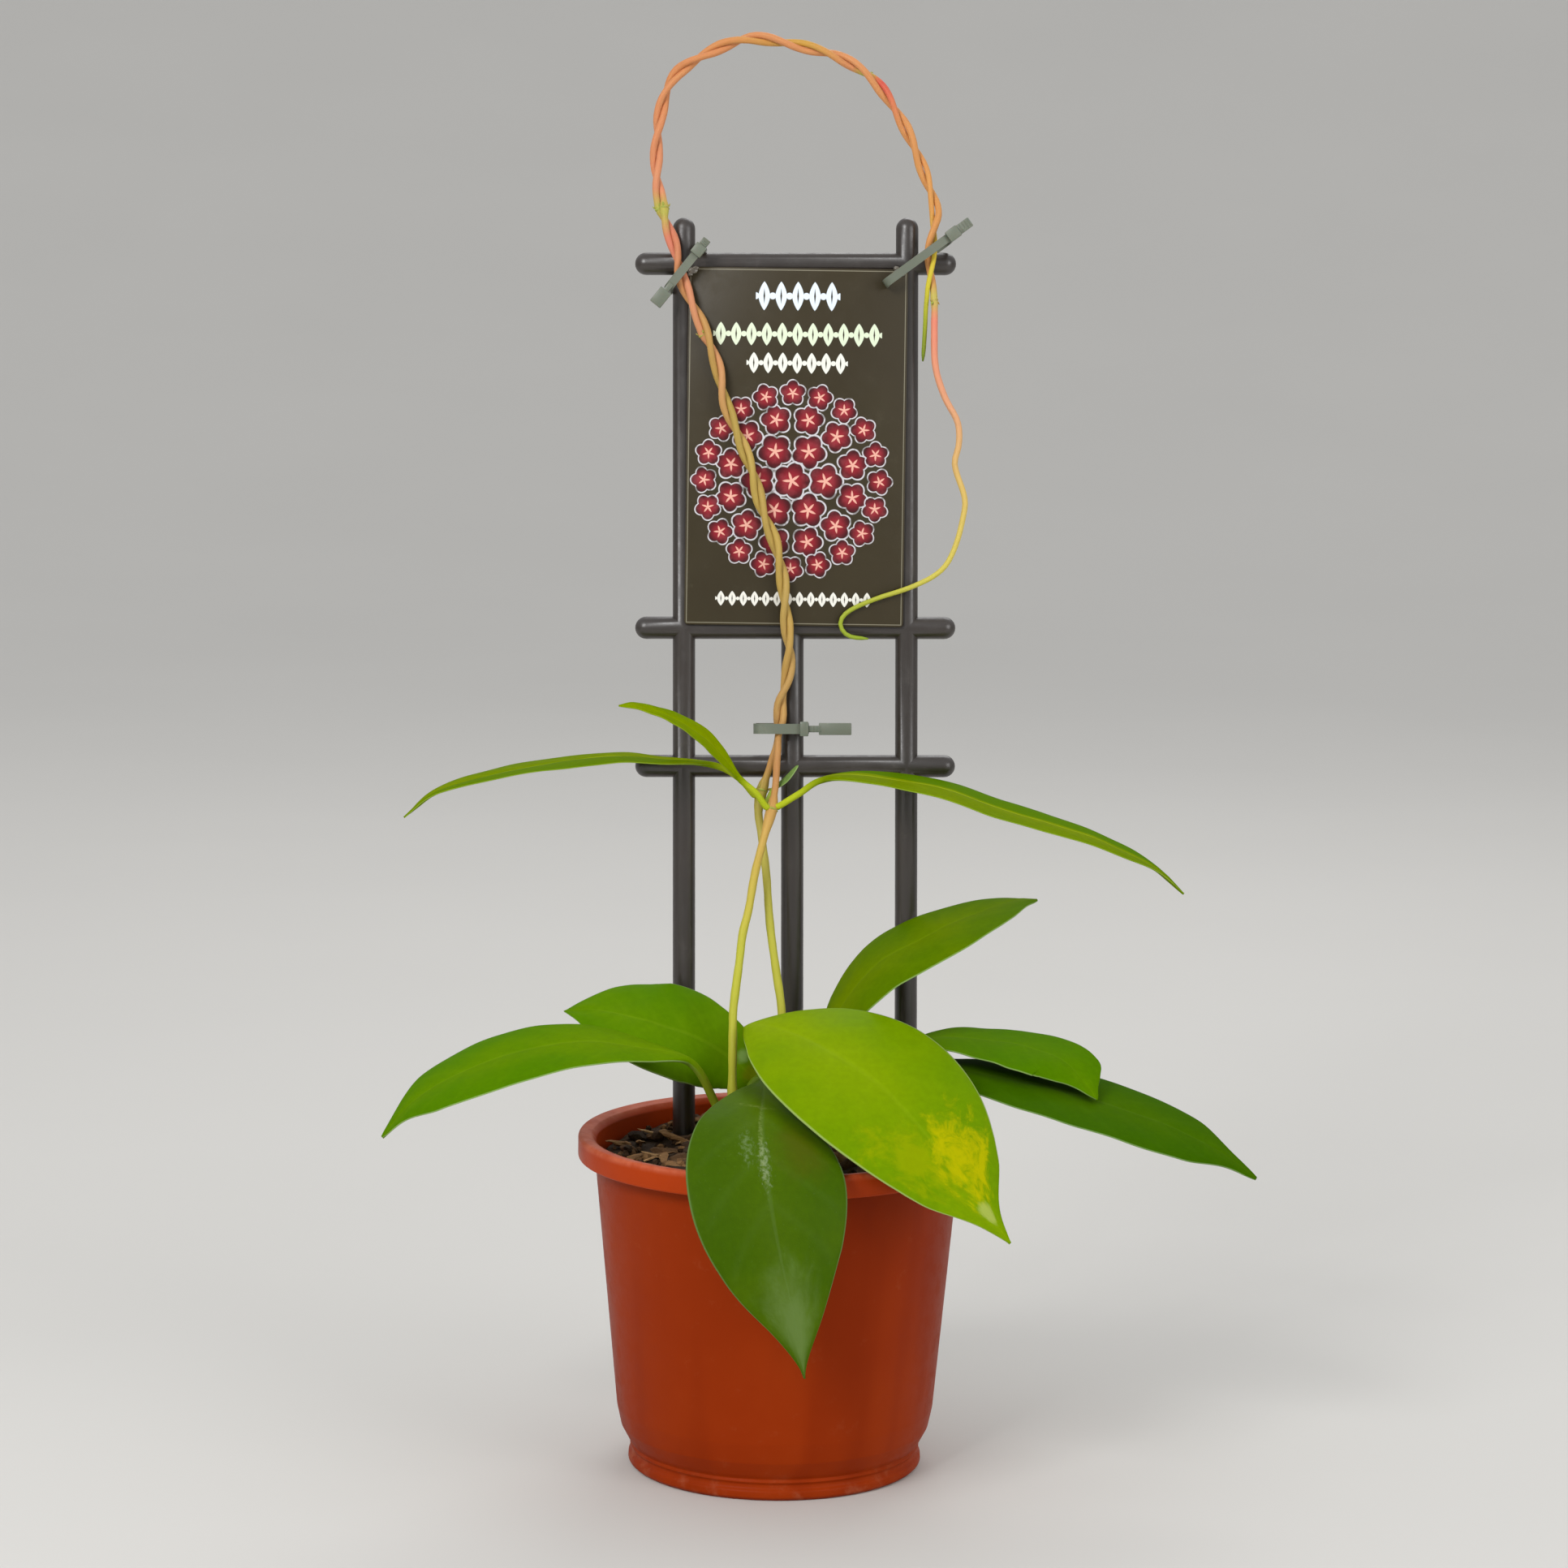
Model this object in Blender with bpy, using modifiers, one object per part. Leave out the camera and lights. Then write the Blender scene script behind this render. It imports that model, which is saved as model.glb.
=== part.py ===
"""Potted wax vine on a small trellis, in a 140 mm nursery pot. Metres, +Z up, front at -Y."""
import math
import random

import bmesh
import bpy
from mathutils import Matrix, Vector

MM = 0.001
GAP = 0.0003  # kept between pieces that touch

# Pot: turned profile, radius and height in millimetres
POT_STEPS = 40
POT_PROFILE = (
    (0.0, 0.0), (30.0, 0.0), (31.5, 2.5), (44.5, 2.5), (46.0, 0.0), (50.5, 0.0), (51.8, 1.2),
    (51.6, 6.5), (50.5, 7.4), (51.6, 8.8), (54.4, 14.0), (55.9, 21.0), (64.6, 115.4),
    (65.4, 116.4), (68.2, 116.4), (68.7, 115.8), (68.7, 110.1), (69.5, 109.9), (70.0, 110.5),
    (70.0, 117.2), (69.3, 118.2), (67.4, 118.2), (65.2, 117.6), (63.6, 115.6), (54.7, 21.0),
    (52.6, 14.0), (49.0, 9.2), (44.0, 5.0), (0.0, 5.0),
)
DRAIN_HOLES = 8
DRAIN_RING = 0.038
DRAIN_RADIUS = 0.004

# Potting mix
SOIL_STEPS = 32
SOIL_LEVEL = 0.1102
SOIL_SIDE = ((43.7, 5.4), (48.5, 9.5), (52.0, 14.1), (54.1, 21.0), (62.2, 108.6))
SOIL_RINGS = (56.0, 48.0, 40.0, 32.0, 24.0, 16.0, 8.0)
CHIP_COUNT = 46
CHIP_SEED = 7

# Trellis, in its own frame: x along the bars, z up the posts from the level of the mix
BAR_RADIUS = 0.004
BAR_SIDES = 16
TRELLIS_FOOT = (0.0062, 0.030, 0.108)
TRELLIS_LEAN = 6.0
TRELLIS_TILT = 0.55
POST_X = 0.03975
POST_TOP = 0.3304
LEG_X = -0.001
LEG_DEPTH = 0.038
BAR_HALF = 0.0572
BAR_HEIGHTS = (0.314, 0.1844, 0.135)
LEG_HOLE = BAR_RADIUS + 0.00042

# Label card, on the front of the bars
CARD_SIZE = (0.078, 0.0012, 0.127)
CARD_CENTRE = (0.0002, -(BAR_RADIUS + GAP + 0.0006), 0.2486)
CARD_TURN = 0.75
CARD_CORNER = 0.0015
SLOT_GAP = 0.0004

# Ties: strap loops round a bar and the stems, x to the right along the strap, y to the back
TIE_THICKNESS = 0.0009
TIE_CORNER = 0.0026

# Stems
STEM_RADIUS = 1.4
STEM_FOOT_RADIUS = 1.6
FOOT_NODE = 1.75
NODE_RADIUS = 1.3
PAIR_RADIUS = 1.15
TIP_RADIUS = 0.75
TWIST_OFFSET = 1.36
TWIST_PITCH = 33.0
STEM_STEP = 4.2
SOIL_HOLE = 0.0021

# Lower run of each stem, in millimetres, then the shared run in the trellis's frame as
# (across, up, distance in front), and the two loose ends
STEM_A_LOW = (
    (-16, -6, 84), (-16, -6, 96), (-16, -6, 108), (-16, -6, 118), (-16, -5, 129), (-16, -3, 144),
    (-16, -1, 152), (-16, 2, 161), (-15, 5, 170), (-14, 8, 178), (-13, 11, 187), (-11, 14, 195),
    (-9, 18, 207), (-6, 23, 219), (-4, 27, 226), (-3, 29, 230), (-2, 32, 237),
    (-1.6, 34.4, 245), (-1.3, 35.7, 249),
)
STEM_B_LOW = (
    (2, 9, 84), (2, 9, 96), (2, 9, 108), (2, 9, 118), (2, 10, 132), (1, 11, 144), (1, 13, 159),
    (-1, 17, 172), (-3, 21, 185), (-4, 24, 194), (-5, 28, 206), (-7, 32, 220), (-8, 34, 227),
    (-7, 36, 234), (-5, 37, 240), (-3.1, 38.4, 246), (-2.0, 39.1, 249.5),
)
PAIR_PATH = (
    (-6, 146, 7), (-5.4, 152, 7), (-5.2, 158, 7), (-3, 166, 7.4), (-2, 175, 8),
    (-2.8, 183, 8.4), (-4, 196, 8.4), (-5, 205, 8.4), (-7.4, 215, 8.4), (-12, 227, 8.4),
    (-15, 239, 8.4), (-19.6, 251, 8.4), (-24.8, 264, 8.4), (-28, 278, 8.4), (-32.5, 290, 8.4),
    (-40, 307, 8.4), (-42.5, 318, 7.8), (-47.4, 333, 4.5), (-49.6, 349, 1), (-48, 368, 0),
    (-43.5, 380, 0), (-34.5, 387, 0), (-24, 392, 0), (-16, 394, 0), (-7, 393, 0), (7, 390, 0),
    (16, 387, 0), (27, 380, 0), (34.6, 370, 0), (41.5, 357, 0), (46, 346, 0), (49.5, 334, 2.5),
    (49, 325, 6), (48, 317, 7.8), (47.8, 302, 8),
)
STEM_B_END = ((46.2, 297.5, 7.6), (46.0, 292, 7.2), (45.7, 286, 6.6), (45.2, 279, 6.4))
STEM_A_END = (
    (49.3, 297.5, 8.2), (49.2, 290, 8.6), (49.6, 277, 9), (53, 266, 9), (57.5, 257.5, 9),
    (58, 249.5, 9), (56.5, 242, 9), (60, 231, 9), (59.6, 224, 9), (56.5, 212.5, 9), (51.5, 204.5, 8.4),
    (41.5, 199, 7.4), (28, 194.5, 6.9), (18.5, 190, 6.9), (16, 185.5, 6.9), (19, 181.5, 6.9),
    (26, 180.5, 6.9),
)
# Distance along each stem, in millimetres, of its swollen nodes
FOOT_NODES = (42, 50)
STEM_A_NODES = (158, 378, 600)
STEM_B_NODES = (152, 350, 540)

# Leaves, in millimetres: stalk from its point on a stem, then midrib stations of the blade
LEAVES = {
    "leaf_front": dict(
        stem=(-16, -5, 127), stalk=((-9, -8, 137),),
        mid=((-5, -12, 140), (-5, -38, 139), (-5.3, -64, 131), (-2.8, -82, 116), (1.8, -90, 94),
             (6.6, -92, 74), (10, -93, 55)),
        width=54, belly=0.53, taper=1.5, tip=0.0, roll=(12, 2), thick=1.3, curl=0.10, channel=0.06),
    "leaf_big": dict(
        stem=(-16, -6, 118), stalk=((-10.5, -1, 125), (-6, 0, 136), (-8.5, -2, 147)),
        mid=((-11, -6, 156), (0, -16, 158), (14, -28, 155), (31, -42, 147), (45.5, -55, 135.4),
             (58.8, -66, 120.6), (70.2, -73, 107), (78.6, -76, 97.6)),
        width=65, belly=0.44, taper=1.05, tip=0.4, roll=(-27, -28), thick=1.3, curl=0.10, channel=0.05),
    "leaf_left_front": dict(
        stem=(-16, -6, 121), stalk=((-22, -11, 131),),
        mid=((-30, -17, 146), (-45, -20, 151), (-62, -23, 154), (-77, -25, 153.5), (-95, -27, 149.5),
             (-113, -29, 142), (-126, -31, 133.5), (-136, -33, 122)),
        width=51, belly=0.58, taper=0.7, tip=0.5, roll=(17, 13), thick=1.3, curl=0.10, channel=0.06),
    "leaf_left_back": dict(
        stem=(2, 9, 123), stalk=((-1.5, 7, 127),),
        mid=((-5, 8, 131.5), (-16, 9.5, 141.5), (-29, 8, 150), (-43, 6, 155), (-56, 8, 158),
             (-67, 11, 159), (-76, 14, 158)),
        width=42, belly=0.5, taper=0.95, tip=0.2, roll=(54, 34, 26, 28), thick=1.3, curl=0.10,
        channel=0.06),
    "leaf_back_right": dict(
        stem=(2, 10, 135), stalk=((9, 11, 140),),
        mid=((17, 9, 147.5), (22.5, 11, 161), (34, 11, 175.7), (50, 13, 185), (67, 21, 192),
             (82, 29, 196), (92, 36, 196)),
        width=45, belly=0.42, taper=0.8, tip=0.25, roll=(-18, -20), thick=1.3, curl=0.10, channel=0.06),
    "leaf_right": dict(
        stem=(2, 9, 126), stalk=((14, 12, 136),),
        mid=((38, 12, 145), (57, 10, 150.5), (72, 8, 150), (86, 5, 148.5), (98, 0, 145.5),
             (105, -6, 140.5), (111, -14, 133.8)),
        width=41, belly=0.56, taper=0.7, tip=0.5, roll=(-1, -5, -14), thick=1.3, curl=0.10, channel=0.06),
    "leaf_right_low": dict(
        stem=(2, 9, 118), stalk=((14, 4, 127),),
        mid=((40, -2, 142), (63, -4, 141.5), (86, -6, 138), (108, -8, 133), (131, -12, 126),
             (150, -15, 118), (167, -17, 107)),
        width=56, belly=0.54, taper=0.75, tip=0.5, roll=(-7, -10), thick=1.3, curl=0.10, channel=0.06),
    "leaf_upper_right": dict(
        stem=(-3, 29, 229.4), stalk=((6.5, 28, 234.6),),
        mid=((15, 27, 239.8), (31, 25, 241), (59, 21, 237), (77, 18, 231), (99, 15, 225),
             (114, 13, 220), (131, 11, 212), (142, 9, 203)),
        width=36, belly=0.43, taper=0.8, tip=0.4, roll=(-1, -1), reach=2.1, thick=0.9, curl=0.12, channel=0.12),
    "leaf_upper_left": dict(
        stem=(-7, 34, 232.5), stalk=((-15, 32, 239.3),),
        mid=((-24, 31, 244), (-43, 29, 246), (-58, 28, 247), (-77, 26, 245), (-100, 23, 241),
             (-121, 20, 235), (-133, 18, 226)),
        width=30, belly=0.5, taper=0.85, tip=0.4, roll=(0, 0), reach=2.1, thick=0.9, curl=0.12, channel=0.12),
    "leaf_upper_back": dict(
        stem=(-3, 28.5, 229), stalk=((-9, 26, 235),),
        mid=((-15, 24, 240.5), (-21, 18, 249.2), (-29, 10, 257.8), (-39, 2, 264.6), (-49, -6, 268.8),
             (-56, -14, 270.4)),
        width=13.5, belly=0.5, taper=0.85, tip=0.3, roll=(52, 40, 20, 2), reach=2.1, thick=0.9, curl=0.12, channel=0.12),
    "leaf_young": dict(
        stem=(-7.5, 35, 231), stalk=(),
        mid=((-2.4, 35.5, 235), (2, 34.5, 239), (6, 33, 244)),
        width=5.0, belly=0.5, taper=0.8, tip=0.0, roll=(-12, -12), reach=2.0, thick=0.8, curl=0.1, channel=0.1),
}
LEAF_SIDES = 12
STALK_RADIUS = 1.5
UPPER_STALK_RADIUS = 1.15
SMALL_LEAF = 0.03

COLOURS = {
    "pot": ((0.30, 0.045, 0.010), 0.38),
    "potting_mix": ((0.035, 0.022, 0.015), 0.95),
    "trellis": ((0.020, 0.017, 0.015), 0.35),
    "label_card": ((0.045, 0.034, 0.018), 0.45),
    "tie": ((0.115, 0.145, 0.095), 0.45),
    "stem": ((0.50, 0.33, 0.08), 0.5),
    "leaf": ((0.13, 0.28, 0.010), 0.4),
    "leaf_dark": ((0.045, 0.13, 0.012), 0.4),
    "leaf_yellow": ((0.26, 0.40, 0.005), 0.4),
}


def clear_scene():
    for item in list(bpy.data.objects):
        bpy.data.objects.remove(item, do_unlink=True)


def make_collection(name, hidden=False):
    group = bpy.data.collections.new(name)
    bpy.context.scene.collection.children.link(group)
    group.hide_render = hidden
    return group


def make_material(name):
    colour, roughness = COLOURS[name]
    paint = bpy.data.materials.new(name)
    paint.use_nodes = True
    shader = paint.node_tree.nodes["Principled BSDF"]
    shader.inputs["Base Color"].default_value = (*colour, 1.0)
    shader.inputs["Roughness"].default_value = roughness
    return paint


def add_object(name, mesh, group, paint=None, smooth=True):
    """Puts a mesh in the scene as one named object."""
    piece = bpy.data.objects.new(name, mesh)
    group.objects.link(piece)
    if paint:
        mesh.materials.append(paint)
    if smooth:
        mesh.shade_smooth()
    return piece


def mesh_from(bm, name):
    """Closes a bmesh into a mesh whose faces point out."""
    bmesh.ops.recalc_face_normals(bm, faces=bm.faces)
    mesh = bpy.data.meshes.new(name)
    bm.to_mesh(mesh)
    bm.free()
    return mesh


def boolean(piece, other, operation):
    step = piece.modifiers.new(operation.lower(), "BOOLEAN")
    step.operation = operation
    step.solver = "EXACT"
    step.object = other


def applied(piece):
    """Bakes a piece's modifiers into its mesh and returns it."""
    bpy.context.view_layer.update()
    seen = piece.evaluated_get(bpy.context.evaluated_depsgraph_get())
    mesh = bpy.data.meshes.new_from_object(seen)
    piece.modifiers.clear()
    piece.data = mesh
    return piece


def drop(piece):
    bpy.data.objects.remove(piece, do_unlink=True)


def smooth_path(points, per_span=8):
    """Points along a smooth curve through the given ones."""
    points = [Vector(p) for p in points]
    points = [2 * points[0] - points[1], *points, 2 * points[-1] - points[-2]]
    path = []
    for i in range(1, len(points) - 2):
        a, b, c, d = points[i - 1:i + 3]
        for j in range(per_span):
            t = j / per_span
            path.append(0.5 * (2 * b + (c - a) * t + (2 * a - 5 * b + 4 * c - d) * t ** 2
                               + (3 * b - a - 3 * c + d) * t ** 3))
    path.append(points[-2])
    return path


def lengths(path):
    """Distance from the start to each point of a path."""
    total = [0.0]
    for a, b in zip(path, path[1:]):
        total.append(total[-1] + (b - a).length)
    return total


def point_at(path, total, distance):
    """Point and direction of a path at a distance from its start."""
    i = 1
    while i < len(path) - 1 and total[i] < distance:
        i += 1
    span = max(total[i] - total[i - 1], 1e-9)
    part = min(max((distance - total[i - 1]) / span, 0.0), 1.0)
    return path[i - 1].lerp(path[i], part), (path[i] - path[i - 1]).normalized()


def trellis_matrix():
    lean = Matrix.Rotation(math.radians(-TRELLIS_LEAN), 4, "X")
    tilt = Matrix.Rotation(math.radians(-TRELLIS_TILT), 4, "Y")
    return Matrix.Translation(TRELLIS_FOOT) @ lean @ tilt


def on_trellis(across, up, front):
    """World point, in millimetres, of a place in the trellis's frame."""
    return trellis_matrix() @ Vector((across * MM, -front * MM, up * MM)) / MM


# Pot

def turned(name, profile, steps, group, paint):
    """A closed solid turned about Z from a profile of radii and heights."""
    mesh = bpy.data.meshes.new(name)
    points = [(r * MM, 0.0, z * MM) for r, z in reversed(profile)]
    mesh.from_pydata(points, [(i, i + 1) for i in range(len(points) - 1)], [])
    piece = add_object(name, mesh, group, paint, smooth=False)
    screw = piece.modifiers.new("turn", "SCREW")
    screw.axis = "Z"
    screw.steps = steps
    screw.render_steps = steps
    screw.use_merge_vertices = True
    screw.merge_threshold = 0.00005
    screw.use_smooth_shade = True
    screw.use_normal_calculate = True
    return piece


def cylinder(name, radius, low, high, sides, place, group):
    """A plain cylinder from low to high along its own Z, with the given placing."""
    bm = bmesh.new()
    bmesh.ops.create_cone(bm, cap_ends=True, segments=sides, radius1=radius, radius2=radius,
                          depth=high - low)
    bmesh.ops.translate(bm, verts=bm.verts, vec=(0, 0, (low + high) / 2))
    piece = add_object(name, mesh_from(bm, name), group, smooth=False)
    piece.matrix_world = place
    piece.display_type = "WIRE"
    piece.hide_render = True
    return piece


def make_pot(group, cutters, paints):
    pot = turned("pot", POT_PROFILE, POT_STEPS, group, paints["pot"])
    bm = bmesh.new()
    for i in range(DRAIN_HOLES):
        angle = 2 * math.pi * (i + 0.5) / DRAIN_HOLES
        centre = Vector((math.cos(angle), math.sin(angle), 0)) * DRAIN_RING
        bmesh.ops.create_cone(bm, cap_ends=True, segments=12, radius1=DRAIN_RADIUS,
                              radius2=DRAIN_RADIUS, depth=0.012,
                              matrix=Matrix.Translation(centre + Vector((0, 0, 0.003))))
    holes = add_object("cut_drain_holes", mesh_from(bm, "cut_drain_holes"), cutters, smooth=False)
    holes.display_type = "WIRE"
    holes.hide_render = True
    boolean(pot, holes, "DIFFERENCE")
    return pot


# Potting mix

def soil_height(x, y):
    """Height of the top of the mix over a point."""
    swell = 0.0012 * math.sin(70 * x + 1.0) * math.cos(55 * y)
    return SOIL_LEVEL + swell + 0.0005 * math.sin(300 * x + 200 * y)


def soil_body():
    """The body of the mix: turned side, flat floor and an uneven top."""
    bm = bmesh.new()
    loops = []
    for r, z in SOIL_SIDE:
        loops.append([bm.verts.new((r * MM * math.cos(a), r * MM * math.sin(a), z * MM))
                      for a in soil_angles()])
    for r in SOIL_RINGS:
        loop = []
        for a in soil_angles():
            x, y = r * MM * math.cos(a), r * MM * math.sin(a)
            loop.append(bm.verts.new((x, y, soil_height(x, y))))
        loops.append(loop)
    for low, high in zip(loops, loops[1:]):
        for i in range(SOIL_STEPS):
            j = (i + 1) % SOIL_STEPS
            bm.faces.new((low[i], low[j], high[j], high[i]))
    bm.faces.new(loops[0])
    middle = bm.verts.new((0, 0, soil_height(0, 0)))
    for i in range(SOIL_STEPS):
        bm.faces.new((loops[-1][i], loops[-1][(i + 1) % SOIL_STEPS], middle))
    return mesh_from(bm, "potting_mix")


def soil_angles():
    return [2 * math.pi * (i + 0.5) / SOIL_STEPS for i in range(SOIL_STEPS)]


def clear_of_stems(x, y, reach):
    """Whether a chip at this spot stays off the stems and the trellis's legs."""
    feet = [(-16, -6, 3), (2, 9, 3)]
    feet += [(on_trellis(across / MM, 0, 0).x, on_trellis(across / MM, 0, 0).y, 6)
             for across in (-POST_X, LEG_X, POST_X)]
    return all(math.hypot(x - fx, y - fy) > radius + reach for fx, fy, radius in feet)


def make_chips(group):
    """Bark chips and lumps, half sunk in the top of the mix."""
    draw = random.Random(CHIP_SEED)
    made = []
    while len(made) < CHIP_COUNT:
        angle = draw.uniform(0, 2 * math.pi)
        radius = 57 * math.sqrt(draw.random())
        size = (draw.uniform(5, 13), draw.uniform(3, 7), draw.uniform(2.4, 4.2))
        turn = draw.uniform(0, math.pi)
        tilts = (draw.uniform(-0.35, 0.35), draw.uniform(-0.3, 0.3))
        shrink = [draw.uniform(0.55, 1.0) for _ in range(8)]
        x, y = radius * math.cos(angle), radius * math.sin(angle)
        if radius + size[0] / 2 > 60.5 or not clear_of_stems(x, y, size[0] / 2):
            continue
        bm = bmesh.new()
        for k, amount in enumerate(shrink):
            sign = (k & 1) - 0.5, (k >> 1 & 1) - 0.5, (k >> 2) - 0.5
            bm.verts.new((sign[0] * size[0] * amount * MM, sign[1] * size[1] * amount * MM,
                          sign[2] * size[2] * MM))
        hull = bmesh.ops.convex_hull(bm, input=bm.verts)
        loose = [v for v in hull["geom_interior"] if isinstance(v, bmesh.types.BMVert)]
        bmesh.ops.delete(bm, geom=loose, context="VERTS")
        chip = add_object(f"chip_{len(made)}", mesh_from(bm, "chip"), group, smooth=False)
        lift = soil_height(x * MM, y * MM) + size[2] * MM * draw.uniform(0.05, 0.25)
        chip.matrix_world = (Matrix.Translation((x * MM, y * MM, lift))
                             @ Matrix.Rotation(turn, 4, "Z") @ Matrix.Rotation(tilts[0], 4, "X")
                             @ Matrix.Rotation(tilts[1], 4, "Y"))
        made.append(chip)
    return made


def make_soil(group, cutters, paints):
    soil = add_object("potting_mix", soil_body(), group, paints["potting_mix"], smooth=False)
    chips = make_collection("chips", hidden=True)
    pieces = make_chips(chips)
    join = soil.modifiers.new("chips", "BOOLEAN")
    join.operation = "UNION"
    join.solver = "EXACT"
    join.operand_type = "COLLECTION"
    join.collection = chips
    applied(soil)
    for piece in pieces:
        drop(piece)
    bpy.data.collections.remove(chips)
    place = trellis_matrix()
    for tag, across in (("left", -POST_X), ("middle", LEG_X), ("right", POST_X)):
        leg = place @ Matrix.Translation((across, 0, 0))
        hole = cylinder(f"cut_leg_{tag}", LEG_HOLE, -LEG_DEPTH - GAP, 0.03, BAR_SIDES, leg, cutters)
        boolean(soil, hole, "DIFFERENCE")
    for tag, (x, y, z) in (("a", STEM_A_LOW[0]), ("b", STEM_B_LOW[0])):
        spot = Matrix.Translation((x * MM, y * MM, z * MM - GAP))
        hole = cylinder(f"cut_stem_{tag}", SOIL_HOLE, 0, 0.035, 12, spot, cutters)
        boolean(soil, hole, "DIFFERENCE")
    return soil


# Trellis, card and ties

def round_bar(name, start, end, low_round, group):
    """A round bar between two points, with a dome at its end and at its start if asked."""
    start, end = Vector(start), Vector(end)
    length = (end - start).length
    rings = []
    quarter = [math.radians(a) for a in (0, 30, 60)]
    if low_round:
        rings += [(BAR_RADIUS * math.cos(a), BAR_RADIUS * (1 - math.sin(a))) for a in reversed(quarter)]
    else:
        rings.append((BAR_RADIUS, 0.0))
    rings += [(BAR_RADIUS * math.cos(a), length - BAR_RADIUS * (1 - math.sin(a))) for a in quarter]
    bm = bmesh.new()
    loops = []
    for radius, height in rings:
        loops.append([bm.verts.new((radius * math.cos(2 * math.pi * (i + 0.5) / BAR_SIDES),
                                    radius * math.sin(2 * math.pi * (i + 0.5) / BAR_SIDES),
                                    height)) for i in range(BAR_SIDES)])
    for low, high in zip(loops, loops[1:]):
        for i in range(BAR_SIDES):
            j = (i + 1) % BAR_SIDES
            bm.faces.new((low[i], low[j], high[j], high[i]))
    for loop, height in ((loops[0], 0.0), (loops[-1], length)):
        if loop is loops[0] and not low_round:
            bm.faces.new(loop)
            continue
        pole = bm.verts.new((0, 0, height))
        for i in range(BAR_SIDES):
            bm.faces.new((loop[i], loop[(i + 1) % BAR_SIDES], pole))
    turn = Vector((0, 0, 1)).rotation_difference(end - start).to_matrix().to_4x4()
    bmesh.ops.transform(bm, verts=bm.verts, matrix=Matrix.Translation(start) @ turn)
    return add_object(name, mesh_from(bm, name), group)


def make_trellis(group, paints):
    bars = make_collection("bars", hidden=True)
    trellis = round_bar("trellis", (-POST_X, 0, -LEG_DEPTH), (-POST_X, 0, POST_TOP), False, group)
    trellis.data.materials.append(paints["trellis"])
    pieces = [
        round_bar("post", (POST_X, 0, -LEG_DEPTH), (POST_X, 0, POST_TOP), False, bars),
        round_bar("leg", (LEG_X, 0, -LEG_DEPTH), (LEG_X, 0, BAR_HEIGHTS[1]), False, bars),
    ]
    for height in BAR_HEIGHTS:
        pieces.append(round_bar("bar", (-BAR_HALF, 0, height), (BAR_HALF, 0, height), True, bars))
    join = trellis.modifiers.new("bars", "BOOLEAN")
    join.operation = "UNION"
    join.solver = "EXACT"
    join.operand_type = "COLLECTION"
    join.collection = bars
    applied(trellis)
    for piece in pieces:
        drop(piece)
    bpy.data.collections.remove(bars)
    trellis.matrix_world = trellis_matrix()
    return trellis


def make_card(group, cutters, paints):
    """Thin plate with clipped corners on the front of the bars."""
    bm = bmesh.new()
    bmesh.ops.create_cube(bm, size=1.0)
    bmesh.ops.scale(bm, verts=bm.verts, vec=CARD_SIZE)
    corners = [e for e in bm.edges if abs(e.verts[0].co.y - e.verts[1].co.y) > 1e-6]
    bmesh.ops.bevel(bm, geom=corners, offset=CARD_CORNER, segments=2, profile=0.5,
                    affect="EDGES")
    card = add_object("label_card", mesh_from(bm, "label_card"), group, paints["label_card"],
                      smooth=False)
    turn = Matrix.Rotation(math.radians(CARD_TURN), 4, "Y")
    card.matrix_world = trellis_matrix() @ Matrix.Translation(CARD_CENTRE) @ turn
    spec = TIES["tie_right"]
    size = (TIE_THICKNESS + 2 * SLOT_GAP, 0.006, spec["width"] * MM + 2 * SLOT_GAP)
    centre = (spec["span"][0] * MM - TIE_THICKNESS / 2, CARD_CENTRE[1], 0)
    slot = add_object("cut_card_slot", block_mesh(centre, size), cutters, smooth=False)
    slot.matrix_world = tie_matrix(spec)
    slot.display_type = "WIRE"
    slot.hide_render = True
    boolean(card, slot, "DIFFERENCE")
    return card


def rounded_loop(x0, x1, y0, y1, corner):
    """Corner points of a rectangle with rounded corners."""
    points = []
    centres = ((x1 - corner, y1 - corner), (x0 + corner, y1 - corner),
               (x0 + corner, y0 + corner), (x1 - corner, y0 + corner))
    for k, (cx, cy) in enumerate(centres):
        for j in range(4):
            a = math.radians(90 * k + 30 * j)
            points.append((cx + corner * math.cos(a), cy + corner * math.sin(a)))
    return points


def strap_mesh(x0, x1, y0, y1, width):
    """A closed strap: the band between two rounded loops."""
    inner = rounded_loop(x0, x1, y0, y1, TIE_CORNER)
    outer = rounded_loop(x0 - TIE_THICKNESS, x1 + TIE_THICKNESS, y0 - TIE_THICKNESS,
                         y1 + TIE_THICKNESS, TIE_CORNER + TIE_THICKNESS)
    bm = bmesh.new()
    loops = []
    for points, z in ((outer, -width / 2), (outer, width / 2), (inner, width / 2),
                      (inner, -width / 2)):
        loops.append([bm.verts.new((x, y, z)) for x, y in points])
    count = len(inner)
    for k in range(4):
        low, high = loops[k], loops[(k + 1) % 4]
        for i in range(count):
            j = (i + 1) % count
            bm.faces.new((low[i], low[j], high[j], high[i]))
    return mesh_from(bm, "strap")


def block_mesh(centre, size):
    bm = bmesh.new()
    bmesh.ops.create_cube(bm, size=1.0)
    bmesh.ops.scale(bm, verts=bm.verts, vec=size)
    bmesh.ops.translate(bm, verts=bm.verts, vec=centre)
    return mesh_from(bm, "block")


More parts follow.
